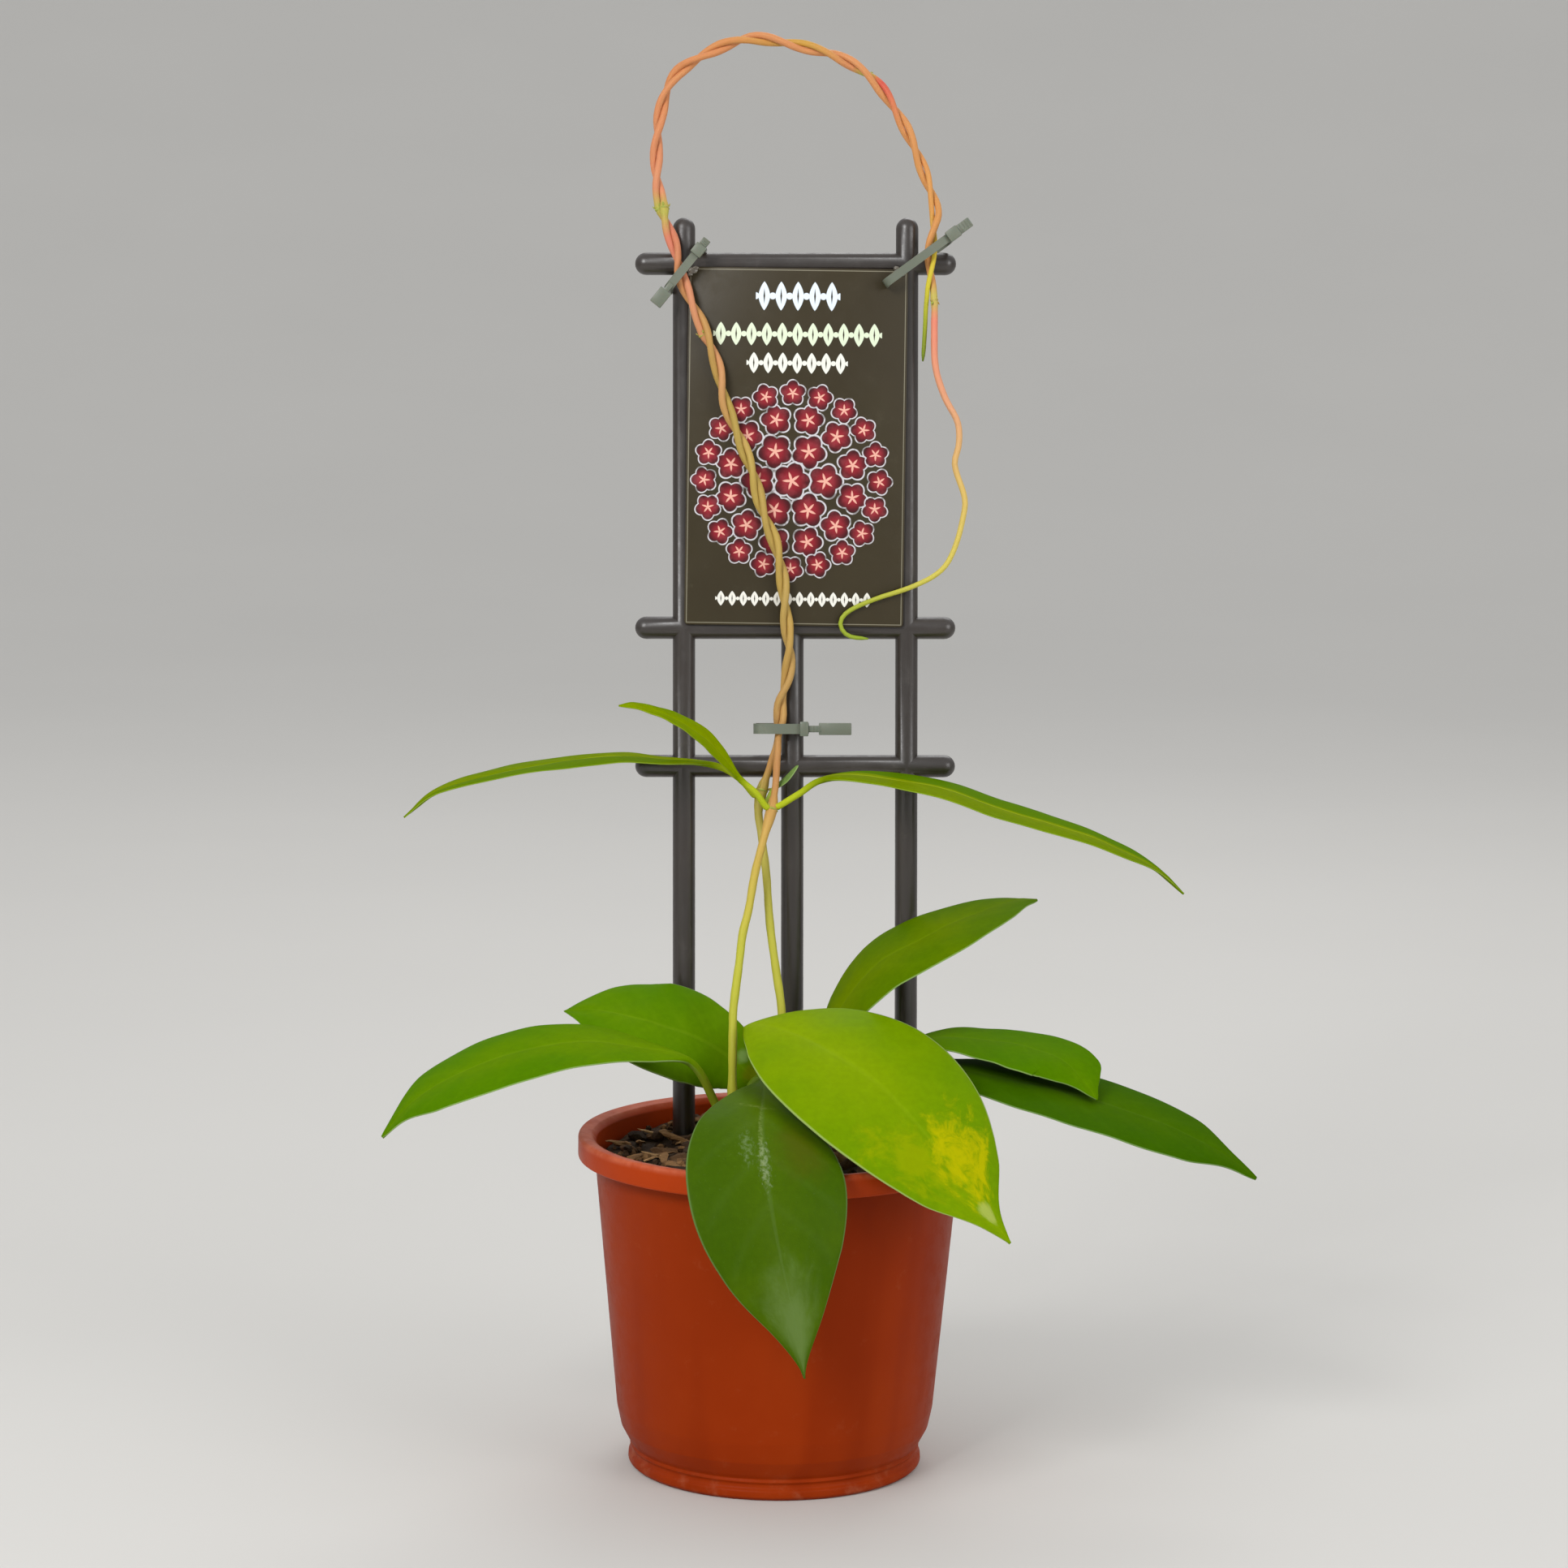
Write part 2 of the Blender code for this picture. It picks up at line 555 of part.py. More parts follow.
TIES = {
    "tie_left": dict(at=(-POST_X, BAR_HEIGHTS[0]), turn=51, drop=-1.8, span=(-10.4, 8.1),
                     depth=(-11.2, 4.4), width=3.0,
                     blocks=(((6.4, -11.9, 0), (4.2, 3.2, 4.2)),
                             ((9.6, -11.9, 0), (3.4, 1.5, 3.0)),
                             ((-11.0, -11.65, 0), (4.4, 1.0, 2.0)),
                             ((-15.0, -11.65, 0), (6.4, 1.1, 4.6)))),
    "tie_right": dict(at=(POST_X, BAR_HEIGHTS[0]), turn=36, drop=-1.6, span=(-10.3, 17.0),
                      depth=(-11.2, 4.4), width=3.0,
                      blocks=(((18.6, -11.9, 0), (4.6, 3.2, 4.2)),
                              ((23.2, -11.9, 0), (5.8, 1.5, 3.6)))),
    "tie_middle": dict(at=(0.0, 0.1485), turn=0, drop=0.0, span=(-14.0, 4.0),
                       depth=(-9.9, 4.4), width=3.6,
                       blocks=(((3.2, -10.6, 0), (3.0, 3.2, 5.2)),
                               ((6.6, -10.6, 0), (5.6, 1.2, 2.4)),
                               ((14.2, -10.5, 0), (11.6, 1.1, 4.3)))),
}


def tie_matrix(spec):
    """Placing of a tie: x along its strap, z across the strap, y to the back."""
    across, height = spec["at"]
    return (trellis_matrix() @ Matrix.Translation((across, 0, height))
            @ Matrix.Rotation(math.radians(-spec["turn"]), 4, "Y")
            @ Matrix.Translation((0, 0, spec["drop"] * MM)))


def make_tie(name, spec, group, paint):
    x0, x1 = (v * MM for v in spec["span"])
    y0, y1 = (v * MM for v in spec["depth"])
    tie = add_object(name, strap_mesh(x0, x1, y0, y1, spec["width"] * MM), group, paint,
                     smooth=False)
    parts = make_collection("tie_parts", hidden=True)
    blocks = []
    for i, (centre, size) in enumerate(spec["blocks"]):
        mesh = block_mesh([v * MM for v in centre], [v * MM for v in size])
        blocks.append(add_object(f"block_{i}", mesh, parts, smooth=False))
    join = tie.modifiers.new("head", "BOOLEAN")
    join.operation = "UNION"
    join.solver = "EXACT"
    join.operand_type = "COLLECTION"
    join.collection = parts
    applied(tie)
    for block in blocks:
        drop(block)
    bpy.data.collections.remove(parts)
    tie.matrix_world = tie_matrix(spec)
    return tie


# Stems

def stem_paths():
    """Centre lines of the two stems, in millimetres; they wind round each other."""
    centre = smooth_path([on_trellis(*p) for p in PAIR_PATH], per_span=12)
    total = lengths(centre)
    front = (trellis_matrix().to_3x3() @ Vector((0, -1, 0))).normalized()
    count = round(total[-1] / STEM_STEP)
    turns = round(total[-1] / TWIST_PITCH * 2) / 2 + 0.25
    wound = ([], [])
    for i in range(count + 1):
        point, along = point_at(centre, total, total[-1] * i / count)
        side = along.cross(front).normalized()
        out = side.cross(along).normalized()
        phase = 2 * math.pi * turns * i / count
        for k in (0, 1):
            angle = phase + math.pi * k
            wound[k].append(point + TWIST_OFFSET * (math.cos(angle) * out + math.sin(angle) * side))
    ends = ([on_trellis(*p) for p in STEM_A_END], [on_trellis(*p) for p in STEM_B_END])
    paths = []
    for low, middle, end in zip((STEM_A_LOW, STEM_B_LOW), wound, ends):
        paths.append(smooth_path([Vector(p) for p in low] + middle + end, per_span=4))
    return paths


def stem_radius(distance, nodes, length):
    """Radius along a stem: thicker at its foot and at its nodes, thinner at its tip."""
    if distance < 150:
        radius = STEM_FOOT_RADIUS + (STEM_RADIUS - STEM_FOOT_RADIUS) * distance / 150
    else:
        radius = max(PAIR_RADIUS, STEM_RADIUS - 0.02 * (distance - 150))
    for node in FOOT_NODES:
        radius = max(radius, FOOT_NODE - 0.06 * abs(distance - node))
    for node in nodes:
        radius = max(radius, NODE_RADIUS - 0.06 * abs(distance - node))
    return min(radius, TIP_RADIUS + 0.0035 * (length - distance))


def make_stem(name, path, nodes, group, paint):
    """A tube along the stem's path, with a radius at each point."""
    total = lengths(path)
    count = round(total[-1] / STEM_STEP)
    curve = bpy.data.curves.new(name, "CURVE")
    curve.dimensions = "3D"
    curve.bevel_depth = MM
    curve.bevel_resolution = 1
    curve.use_fill_caps = True
    line = curve.splines.new("POLY")
    line.points.add(count)
    for i in range(count + 1):
        distance = total[-1] * i / count
        point, _ = point_at(path, total, distance)
        line.points[i].co = (*(point * MM), 1.0)
        line.points[i].radius = stem_radius(distance, nodes, total[-1])
    line.use_smooth = True
    curve.materials.append(paint)
    stem = bpy.data.objects.new(name, curve)
    group.objects.link(stem)
    return stem


# Leaves

def half_width(leaf, s):
    """Half the width of a blade, as a share of its full half, at a share of its length."""
    taper = leaf["taper"]
    base = taper * leaf["belly"] / (1 - leaf["belly"])
    top = leaf["belly"]
    s = min(max(s, 0.0), 1.0)
    near_tip = min(max((s - 0.80) / 0.16, 0.0), 1.0)
    drawn = 1 - leaf["tip"] * near_tip ** 2 * (3 - 2 * near_tip)
    return drawn * s ** base * (1 - s) ** taper / (top ** base * (1 - top) ** taper)


def roll_at(rolls, s):
    """Roll at a share of the blade's length, from rolls given at even spaces along it."""
    place = min(max(s, 0.0), 1.0) * (len(rolls) - 1)
    i = min(int(place), len(rolls) - 2)
    return rolls[i] + (rolls[i + 1] - rolls[i]) * (place - i)


def leaf_rings(leaf, stem_axis):
    """Centre, axes and size of each ring of a leaf, from its stalk's foot to its tip."""
    small = leaf["width"] * MM < SMALL_LEAF
    stalk_radius = UPPER_STALK_RADIUS if leaf["thick"] < 1 else STALK_RADIUS
    if leaf["width"] < 5:
        stalk_radius = 0.7
    origin = Vector(leaf["stem"])
    onward = Vector((leaf["stalk"] + leaf["mid"][:1])[0])
    away = onward - origin
    away -= stem_axis * away.dot(stem_axis)
    away.normalize()
    reach = leaf.get("reach", FOOT_NODE + 0.6)
    stalk = [origin + away * reach, origin + away * (reach + 1.5)]
    stalk += [Vector(p) for p in leaf["stalk"]]
    path = smooth_path(stalk + [Vector(p) for p in leaf["mid"]], per_span=12)
    total = lengths(path)
    blade_start = total[12 * len(stalk)]
    blade = total[-1] - blade_start
    shares = [i / 4 for i in range(4)]
    stations = [blade_start * s for s in shares]
    count = 8 if small else 13
    for i in range(count + 1):
        s = 0.5 - 0.5 * math.cos(math.pi * i / count)
        s = 0.35 * s + 0.65 * i / count
        stations.append(blade_start + blade * min(s, 0.996))
    spots = [point_at(path, total, distance) for distance in stations]
    start = len(shares)
    sides = {start: spots[start][1].cross(Vector((0, 0, 1))).normalized()}
    for i in [*range(start + 1, len(spots)), *range(start - 1, -1, -1)]:
        before = sides[i - 1] if i > start else sides[i + 1]
        along = spots[i][1]
        sides[i] = (before - along * before.dot(along)).normalized()
    rings = []
    for i, distance in enumerate(stations):
        point, along = spots[i]
        side = sides[i]
        up = side.cross(along)
        s = (distance - blade_start) / blade
        roll = math.radians(roll_at(leaf["roll"], s))
        across = side * math.cos(roll) + up * math.sin(roll)
        normal = up * math.cos(roll) - side * math.sin(roll)
        grown = leaf["width"] / 2 * half_width(leaf, s) if s > 0 else 0.0
        fade = min(max(s / 0.16, 0.0), 1.0)
        root = stalk_radius * (1 - 0.62 * max(s, 0) ** 0.5) if s > 0 else stalk_radius
        wide = math.hypot(grown, root if s < 0.9 else 0.35 + (root - 0.35) * (1 - s) / 0.1)
        deep = stalk_radius + (leaf["thick"] / 2 - stalk_radius) * fade
        if s > 0.94:
            deep *= 1 - 0.5 * (s - 0.94) / 0.06
        rings.append((point, across, normal, wide, grown, deep, 1 - 0.35 * fade))
    return rings


def make_leaf(name, leaf, stem_axis, group, paint):
    """One leaf: its round stalk runs on into the lens-shaped blade."""
    bm = bmesh.new()
    loops = []
    for point, across, normal, wide, grown, deep, power in leaf_rings(leaf, stem_axis):
        loop = []
        for j in range(LEAF_SIDES):
            angle = 2 * math.pi * j / LEAF_SIDES
            u = math.cos(angle)
            v = math.sin(angle)
            lift = deep * math.copysign(abs(v) ** power, v) if abs(v) > 1e-6 else 0.0
            lift += grown * (leaf["channel"] * abs(u) - leaf["curl"] * u * u)
            loop.append(bm.verts.new((point + across * wide * u + normal * lift) * MM))
        loops.append(loop)
    for low, high in zip(loops, loops[1:]):
        for i in range(LEAF_SIDES):
            j = (i + 1) % LEAF_SIDES
            bm.faces.new((low[i], low[j], high[j], high[i]))
    bm.faces.new(loops[0])
    bm.faces.new(loops[-1])
    return add_object(name, mesh_from(bm, name), group, paint)


def nearest_axis(path, spot):
    """Direction of a stem at its point nearest to a spot."""
    spot = Vector(spot)
    best = min(range(1, len(path) - 1), key=lambda i: (path[i] - spot).length)
    return (path[best + 1] - path[best - 1]).normalized()


def nearest_point(path, spot):
    spot = Vector(spot)
    return min(path, key=lambda p: (p - spot).length)


def make_leaves(paths, group, paints):
    on_b = ("leaf_left_back", "leaf_back_right", "leaf_right", "leaf_right_low",
            "leaf_upper_left", "leaf_young")
    tints = {"leaf_front": "leaf_dark", "leaf_right_low": "leaf_dark", "leaf_big": "leaf_yellow"}
    for name, leaf in LEAVES.items():
        path = paths[1 if name in on_b else 0]
        leaf = dict(leaf, stem=tuple(nearest_point(path, leaf["stem"])))
        axis = nearest_axis(path, leaf["stem"])
        make_leaf(name, leaf, axis, group, paints[tints.get(name, "leaf")])


def main():
    clear_scene()
    group = make_collection("potted_hoya")
    cutters = make_collection("cutters", hidden=True)
    paints = {name: make_material(name) for name in COLOURS}
    make_pot(group, cutters, paints)
    make_soil(group, cutters, paints)
    make_trellis(group, paints)
    make_card(group, cutters, paints)
    for name, spec in TIES.items():
        make_tie(name, spec, group, paints["tie"])
    paths = stem_paths()
    make_stem("vine_a", paths[0], STEM_A_NODES, group, paints["stem"])
    make_stem("vine_b", paths[1], STEM_B_NODES, group, paints["stem"])
    make_leaves(paths, group, paints)


main()
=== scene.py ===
import math
import random

import bmesh
import bpy
from mathutils import Euler, Matrix, Vector, noise


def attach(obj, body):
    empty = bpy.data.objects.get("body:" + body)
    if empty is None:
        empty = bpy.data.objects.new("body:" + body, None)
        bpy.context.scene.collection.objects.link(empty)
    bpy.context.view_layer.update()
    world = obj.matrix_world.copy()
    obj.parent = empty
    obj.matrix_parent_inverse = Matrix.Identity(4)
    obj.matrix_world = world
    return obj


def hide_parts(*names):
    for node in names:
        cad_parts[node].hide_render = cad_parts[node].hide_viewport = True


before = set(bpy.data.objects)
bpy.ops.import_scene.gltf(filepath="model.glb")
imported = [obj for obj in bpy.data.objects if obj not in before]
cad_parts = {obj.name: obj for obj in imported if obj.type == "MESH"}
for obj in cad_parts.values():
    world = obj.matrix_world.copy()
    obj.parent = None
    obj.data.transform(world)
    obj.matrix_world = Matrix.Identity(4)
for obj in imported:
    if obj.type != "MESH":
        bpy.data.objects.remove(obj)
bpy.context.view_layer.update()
mm = 0.001


# Camera, at the height and distance of the photograph

cameraView = {"place": (0.001, -1.5, 0.450), "lens": 100.0, "sensor": 36.0, "down": 7.9,
              "roll": 0.6}


def makeCamera():
    lens = bpy.data.cameras.new("viewCamera")
    lens.lens = cameraView["lens"]
    lens.sensor_width = cameraView["sensor"]
    camera = bpy.data.objects.new("viewCamera", lens)
    bpy.context.scene.collection.objects.link(camera)
    camera.matrix_world = (Matrix.Translation(cameraView["place"])
                           @ Matrix.Rotation(math.radians(90 - cameraView["down"]), 4, "X")
                           @ Matrix.Rotation(math.radians(cameraView["roll"]), 4, "Z"))
    bpy.context.scene.camera = camera


# Node tree helpers

class Wire:
    # output of a node; sums, products and so on of wires become math nodes
    def __init__(self, socket):
        self.socket, self.tree = socket, socket.id_data

    def __add__(self, other):
        return calc("ADD", self, other)

    def __sub__(self, other):
        return calc("SUBTRACT", self, other)

    def __rsub__(self, other):
        return calc("SUBTRACT", other, self)

    def __mul__(self, other):
        return calc("MULTIPLY", self, other)

    def __truediv__(self, other):
        return calc("DIVIDE", self, other)

    def __abs__(self):
        return calc("ABSOLUTE", self)


def treeOf(values):
    return next(value.tree for value in values if isinstance(value, Wire))


def addNode(tree, kind, inputs=(), **settings):
    made = tree.nodes.new(kind)
    for key, value in settings.items():
        setattr(made, key, value)
    for key, value in dict(inputs).items():
        socket = made.inputs[key]
        if isinstance(value, Wire):
            tree.links.new(value.socket, socket)
        else:
            socket.default_value = (*value, 1.0) if socket.type == "RGBA" else value
    return made


def calc(operation, *values):
    made = addNode(treeOf(values), "ShaderNodeMath", enumerate(values), operation=operation)
    return Wire(made.outputs[0])


def radial(x, y):
    return calc("SQRT", x * x + y * y)


def fade(value, low, high, start=0.0, end=1.0):
    # smooth step from start to end as value goes from low to high
    made = addNode(value.tree, "ShaderNodeMapRange", {
        "Value": value, "From Min": low, "From Max": high, "To Min": start, "To Max": end},
        interpolation_type="SMOOTHSTEP")
    return Wire(made.outputs["Result"])


def blend(factor, first, second):
    made = addNode(factor.tree, "ShaderNodeMix", {0: factor, 6: first, 7: second},
                   data_type="RGBA")
    return Wire(made.outputs[2])


def layers(colour, *coats):
    # tints laid over a colour, each with its mask
    for mask, tint in coats:
        colour = blend(mask, colour, rgb(*tint))
    return colour


def cloud(vector, scale, detail=3.0, roughness=0.5, distortion=0.0):
    made = addNode(vector.tree, "ShaderNodeTexNoise", {
        "Vector": vector, "Scale": scale, "Detail": detail, "Roughness": roughness,
        "Distortion": distortion})
    return Wire(made.outputs["Fac"])


def split(vector):
    made = addNode(vector.tree, "ShaderNodeSeparateXYZ", {0: vector})
    return [Wire(made.outputs[i]) for i in range(3)]


def merge(*parts):
    made = addNode(treeOf(parts), "ShaderNodeCombineXYZ", enumerate(parts))
    return Wire(made.outputs[0])


def vectorMath(vector, operation, index, value):
    made = addNode(vector.tree, "ShaderNodeVectorMath", {0: vector, index: value},
                   operation=operation)
    return Wire(made.outputs[0])


def attribute(spot, name):
    made = addNode(spot.tree, "ShaderNodeAttribute", attribute_type="GEOMETRY",
                   attribute_name=name)
    return Wire(made.outputs["Vector"])


def ramp(factor, stops):
    # colours at their places from 0 to 1
    made = addNode(factor.tree, "ShaderNodeValToRGB", {"Fac": factor})
    band = made.color_ramp.elements
    for at, colour in stops[1:-1]:
        band.new(at).color = (*rgb(*colour), 1)
    for end in (0, -1):
        band[end].color = (*rgb(*stops[end][1]), 1)
    return Wire(made.outputs["Color"])


def wires(sockets):
    return {socket.name: Wire(socket) for socket in sockets}


def rgb(red, green, blue):
    # colour from screen values of 0 to 255
    def linear(c):
        c /= 255
        return c / 12.92 if c <= 0.04045 else ((c + 0.055) / 1.055) ** 2.4
    return linear(red), linear(green), linear(blue)


def newGroup(name, vectors, colours, floats):
    # the named inputs of a new node group
    tree = bpy.data.node_groups.new(name, "ShaderNodeTree")
    for kind, labels in (("Vector", vectors), ("Color", colours), ("Float", floats)):
        for label in labels:
            socket = tree.interface.new_socket(label, in_out="INPUT",
                                               socket_type="NodeSocket" + kind)
            if kind == "Float":
                socket.default_value = floats[label]
    return wires(tree.nodes.new("NodeGroupInput").outputs)


def finishGroup(**outputs):
    tree = treeOf(outputs.values())
    for label in outputs:
        kind = "Color" if label == "Color" else "Float"
        tree.interface.new_socket(label, in_out="OUTPUT", socket_type="NodeSocket" + kind)
    addNode(tree, "NodeGroupOutput", outputs)
    return tree


def useGroup(group, inputs):
    tree = treeOf(inputs.values())
    return wires(addNode(tree, "ShaderNodeGroup", inputs, node_tree=group).outputs)


def newMaterial(name, plain):
    # material with its shader's unlinked values set, and its object coordinates
    material = bpy.data.materials.new(name)
    material.use_nodes = True
    tree = material.node_tree
    for key, value in plain.items():
        tree.nodes["Principled BSDF"].inputs[key].default_value = value
    return material, Wire(addNode(tree, "ShaderNodeTexCoord").outputs["Object"])


def finishSurface(material, colour, roughness, height, strength, distance, coat=None):
    tree = material.node_tree
    bump = addNode(tree, "ShaderNodeBump", {"Height": height, "Strength": strength,
                                            "Distance": distance})
    ends = {"Base Color": colour, "Roughness": roughness, "Normal": Wire(bump.outputs[0]),
            "Coat Weight": coat}
    for label, wire in ends.items():
        if wire:
            tree.links.new(wire.socket, tree.nodes["Principled BSDF"].inputs[label])
    return material


# Paths and the trellis's own frame

def smoothPath(points, perSpan=8):
    points = [Vector(p) for p in points]
    points = [2 * points[0] - points[1], *points, 2 * points[-1] - points[-2]]
    path = []
    for i in range(1, len(points) - 2):
        a, b, c, d = points[i - 1:i + 3]
        for j in range(perSpan):
            t = j / perSpan
            path.append(0.5 * (2 * b + (c - a) * t + (2 * a - 5 * b + 4 * c - d) * t ** 2
                               + (3 * b - a - 3 * c + d) * t ** 3))
    path.append(points[-2])
    return path


def pathLengths(path):
    total = [0.0]
    for a, b in zip(path, path[1:]):
        total.append(total[-1] + (b - a).length)
    return total


def pointAt(path, total, distance):
    # point and direction at a distance along the path
    i = 1
    while i < len(path) - 1 and total[i] < distance:
        i += 1
    span = max(total[i] - total[i - 1], 1e-9)
    part = min(max((distance - total[i - 1]) / span, 0.0), 1.0)
    return path[i - 1].lerp(path[i], part), (path[i] - path[i - 1]).normalized()


trellisShape = {
    "foot": (0.0062, 0.030, 0.108), "lean": 6.0, "tilt": 0.55, "radius": 4.0, "postX": 39.75,
    "postTop": 330.4, "legX": -1.0, "legDepth": 38.0, "barHalf": 57.2,
    "barHeights": (314.0, 184.4, 135.0), "sides": 40,
}
trellisPlace = (Matrix.Translation(trellisShape["foot"])
                @ Matrix.Rotation(math.radians(-trellisShape["lean"]), 4, "X")
                @ Matrix.Rotation(math.radians(-trellisShape["tilt"]), 4, "Y"))


def onTrellis(across, up, front):
    # millimetres in the trellis's frame to millimetres in the world
    return trellisPlace @ Vector((across * mm, -front * mm, up * mm)) / mm


# Pieces

def newObject(name, bm):
    mesh = bpy.data.meshes.new(name)
    bm.to_mesh(mesh)
    bm.free()
    made = bpy.data.objects.new(name, mesh)
    bpy.context.scene.collection.objects.link(made)
    return made


def finishPiece(name, bm, materials, nodes, sharp=None):
    bmesh.ops.recalc_face_normals(bm, faces=bm.faces)
    dressPiece(newObject(name, bm), materials, nodes, sharp)


def dressPiece(piece, materials, nodes, sharp=None):
    # material, smoothing and the calls that tie a piece to the frame
    for material in materials:
        piece.data.materials.append(material)
    piece.data.shade_smooth()
    if sharp:
        piece.data.set_sharp_from_angle(angle=math.radians(sharp))
    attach(piece, "root")
    if nodes:
        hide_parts(*nodes)


def combine(piece, operation, **settings):
    # exact Boolean with other pieces
    step = piece.modifiers.new("combine", "BOOLEAN")
    for key, value in dict(settings, operation=operation, solver="EXACT").items():
        setattr(step, key, value)
    bpy.context.view_layer.update()
    seen = piece.evaluated_get(bpy.context.evaluated_depsgraph_get())
    mesh = bpy.data.meshes.new_from_object(seen)
    piece.modifiers.clear()
    piece.data = mesh
    if mesh.materials:
        mesh.materials.clear()


def revolve(line, steps, bevel=0.0, join=2e-6):
    # a line of radii and heights in metres, turned round the upright axis
    bm = bmesh.new()
    verts = [bm.verts.new((r, 0, z)) for r, z in line]
    for pair in zip(verts, verts[1:]):
        bm.edges.new(pair)
    if bevel:
        bmesh.ops.bevel(bm, geom=verts[1:-1], offset=bevel, segments=3, profile=0.5,
                        affect="VERTICES", material=-1, clamp_overlap=True)
    bmesh.ops.spin(bm, geom=[*bm.verts, *bm.edges], cent=(0, 0, 0), axis=(0, 0, 1),
                   angle=2 * math.pi, steps=steps, use_merge=True)
    bmesh.ops.remove_doubles(bm, verts=bm.verts, dist=join)
    return bm


def closeTube(bm):
    bmesh.ops.remove_doubles(bm, verts=bm.verts, dist=1e-6)
    bmesh.ops.holes_fill(bm, edges=[e for e in bm.edges if e.is_boundary], sides=0)


def addBox(bm, size, centre=(0, 0, 0)):
    made = bmesh.ops.create_cube(bm, size=1.0)["verts"]
    bmesh.ops.scale(bm, verts=made, vec=size)
    bmesh.ops.translate(bm, verts=made, vec=centre)
    return made


def roundEdges(bm, edges, offset, segments):
    bmesh.ops.bevel(bm, geom=edges, offset=offset, segments=segments, profile=0.5,
                    affect="EDGES", material=-1)


# Stems

stemShape = {
    "radius": 1.4, "footRadius": 1.6, "footNode": 1.85, "node": 1.62, "pairRadius": 1.22,
    "tipRadius": 0.75, "twistOffset": 1.21, "twistPitch": 33.0, "step": 2.1, "sides": 20,
    "footNodes": (42, 50), "nodesA": (152, 331, 379, 599), "nodesB": (155, 377, 503), "fork": 2.05,
    "lowA": (
        (-16, -6, 84), (-16, -6, 96), (-16, -6, 108), (-16, -6, 118), (-16, -5, 129),
        (-16, -3, 144), (-16, -1, 152), (-16, 2, 161), (-15, 5, 170), (-14, 8, 178),
        (-13, 11, 187), (-11, 14, 195), (-9, 18, 207), (-6, 23, 219), (-4, 27, 226),
        (-3, 29, 230), (-2, 32, 237), (-1.6, 34.4, 245), (-1.3, 35.7, 249)),
    "lowB": (
        (2, 9, 84), (2, 9, 96), (2, 9, 108), (2, 9, 118), (2, 10, 132), (1, 11, 144),
        (1, 13, 159), (-1, 17, 172), (-3, 21, 185), (-4, 24, 194), (-5, 28, 206), (-7, 32, 220),
        (-8, 34, 227), (-7, 36, 234), (-5, 37, 240), (-3.1, 38.4, 246), (-2.0, 39.1, 249.5)),
    "pair": (
        (-6, 146, 7), (-5.4, 152, 7), (-5.2, 158, 7), (-3, 166, 7.4), (-2, 175, 8),
        (-2.8, 183, 8.4), (-4, 196, 8.4), (-5, 205, 8.4), (-7.4, 215, 8.4), (-12, 227, 8.4),
        (-15, 239, 8.4), (-19.6, 251, 8.4), (-24.8, 264, 8.4), (-28, 278, 8.4),
        (-32.5, 290, 8.4), (-40, 307, 8.4), (-42.5, 318, 7.8), (-47.4, 333, 4.5),
        (-49.6, 349, 1), (-48, 368, 0), (-43.5, 380, 0), (-34.5, 387, 0), (-24, 392, 0),
        (-16, 394, 0), (-7, 393, 0), (7, 390, 0), (16, 387, 0), (27, 380, 0), (34.6, 370, 0),
        (41.5, 357, 0), (46, 346, 0), (49.5, 334, 2.5), (49, 325, 6), (48, 317, 7.8),
        (47.8, 302, 8)),
    "endA": (
        (49.3, 297.5, 8.2), (49.2, 290, 8.6), (49.6, 277, 9), (53, 266, 9), (57.5, 257.5, 9),
        (58, 249.5, 9), (56.5, 242, 9), (60, 231, 9), (59.6, 224, 9), (56.5, 212.5, 9),
        (51.5, 204.5, 8.4), (41.5, 199, 7.4), (28, 194.5, 6.9), (18.5, 190, 6.9),
        (16, 185.5, 6.9), (19, 181.5, 6.9), (26, 180.5, 6.9)),
    "endB": ((46.2, 297.5, 7.6), (46.0, 292, 7.2), (45.7, 286, 6.6), (45.2, 279, 6.4)),
}


def stemPaths():
    s = stemShape
    centre = smoothPath([onTrellis(*p) for p in s["pair"]], perSpan=12)
    total = pathLengths(centre)
    front = (trellisPlace.to_3x3() @ Vector((0, -1, 0))).normalized()
    count = round(total[-1] / s["step"])
    turns = round(total[-1] / s["twistPitch"] * 2) / 2 + 0.25
    wound = ([], [])
    for i in range(count + 1):
        point, along = pointAt(centre, total, total[-1] * i / count)
        side = along.cross(front).normalized()
        out = side.cross(along).normalized()
        for k in (0, 1):
            angle = 2 * math.pi * turns * i / count + math.pi * k
            reach = s["twistOffset"] * (math.cos(angle) * out + math.sin(angle) * side)
            wound[k].append(point + reach)
    paths = []
    for low, middle, end in ((s["lowA"], wound[0], s["endA"]), (s["lowB"], wound[1], s["endB"])):
        last = [onTrellis(*p) for p in end]
        paths.append(smoothPath([Vector(p) for p in low] + middle + last, perSpan=4))
    return paths


def stemRadius(distance, nodes, length):
    s = stemShape
    if distance < 150:
        radius = s["footRadius"] + (s["radius"] - s["footRadius"]) * distance / 150
    else:
        radius = max(s["pairRadius"], s["radius"] - 0.02 * (distance - 150))
    radius *= 1 + 0.035 * math.sin(distance * 0.31) + 0.025 * math.sin(distance * 0.83 + 1)
    for node in s["footNodes"]:
        radius = max(radius, s["footNode"] - 0.04 * (distance - node) ** 2)
    for node in nodes:
        swell, fall = (s["fork"], 0.009) if node < 200 else (s["node"], 0.05)
        fall *= 4 if node < min(distance, 200) else 1
        radius = max(radius, swell - fall * (distance - node) ** 2)
    return min(radius, s["tipRadius"] + 0.0035 * (length - distance))


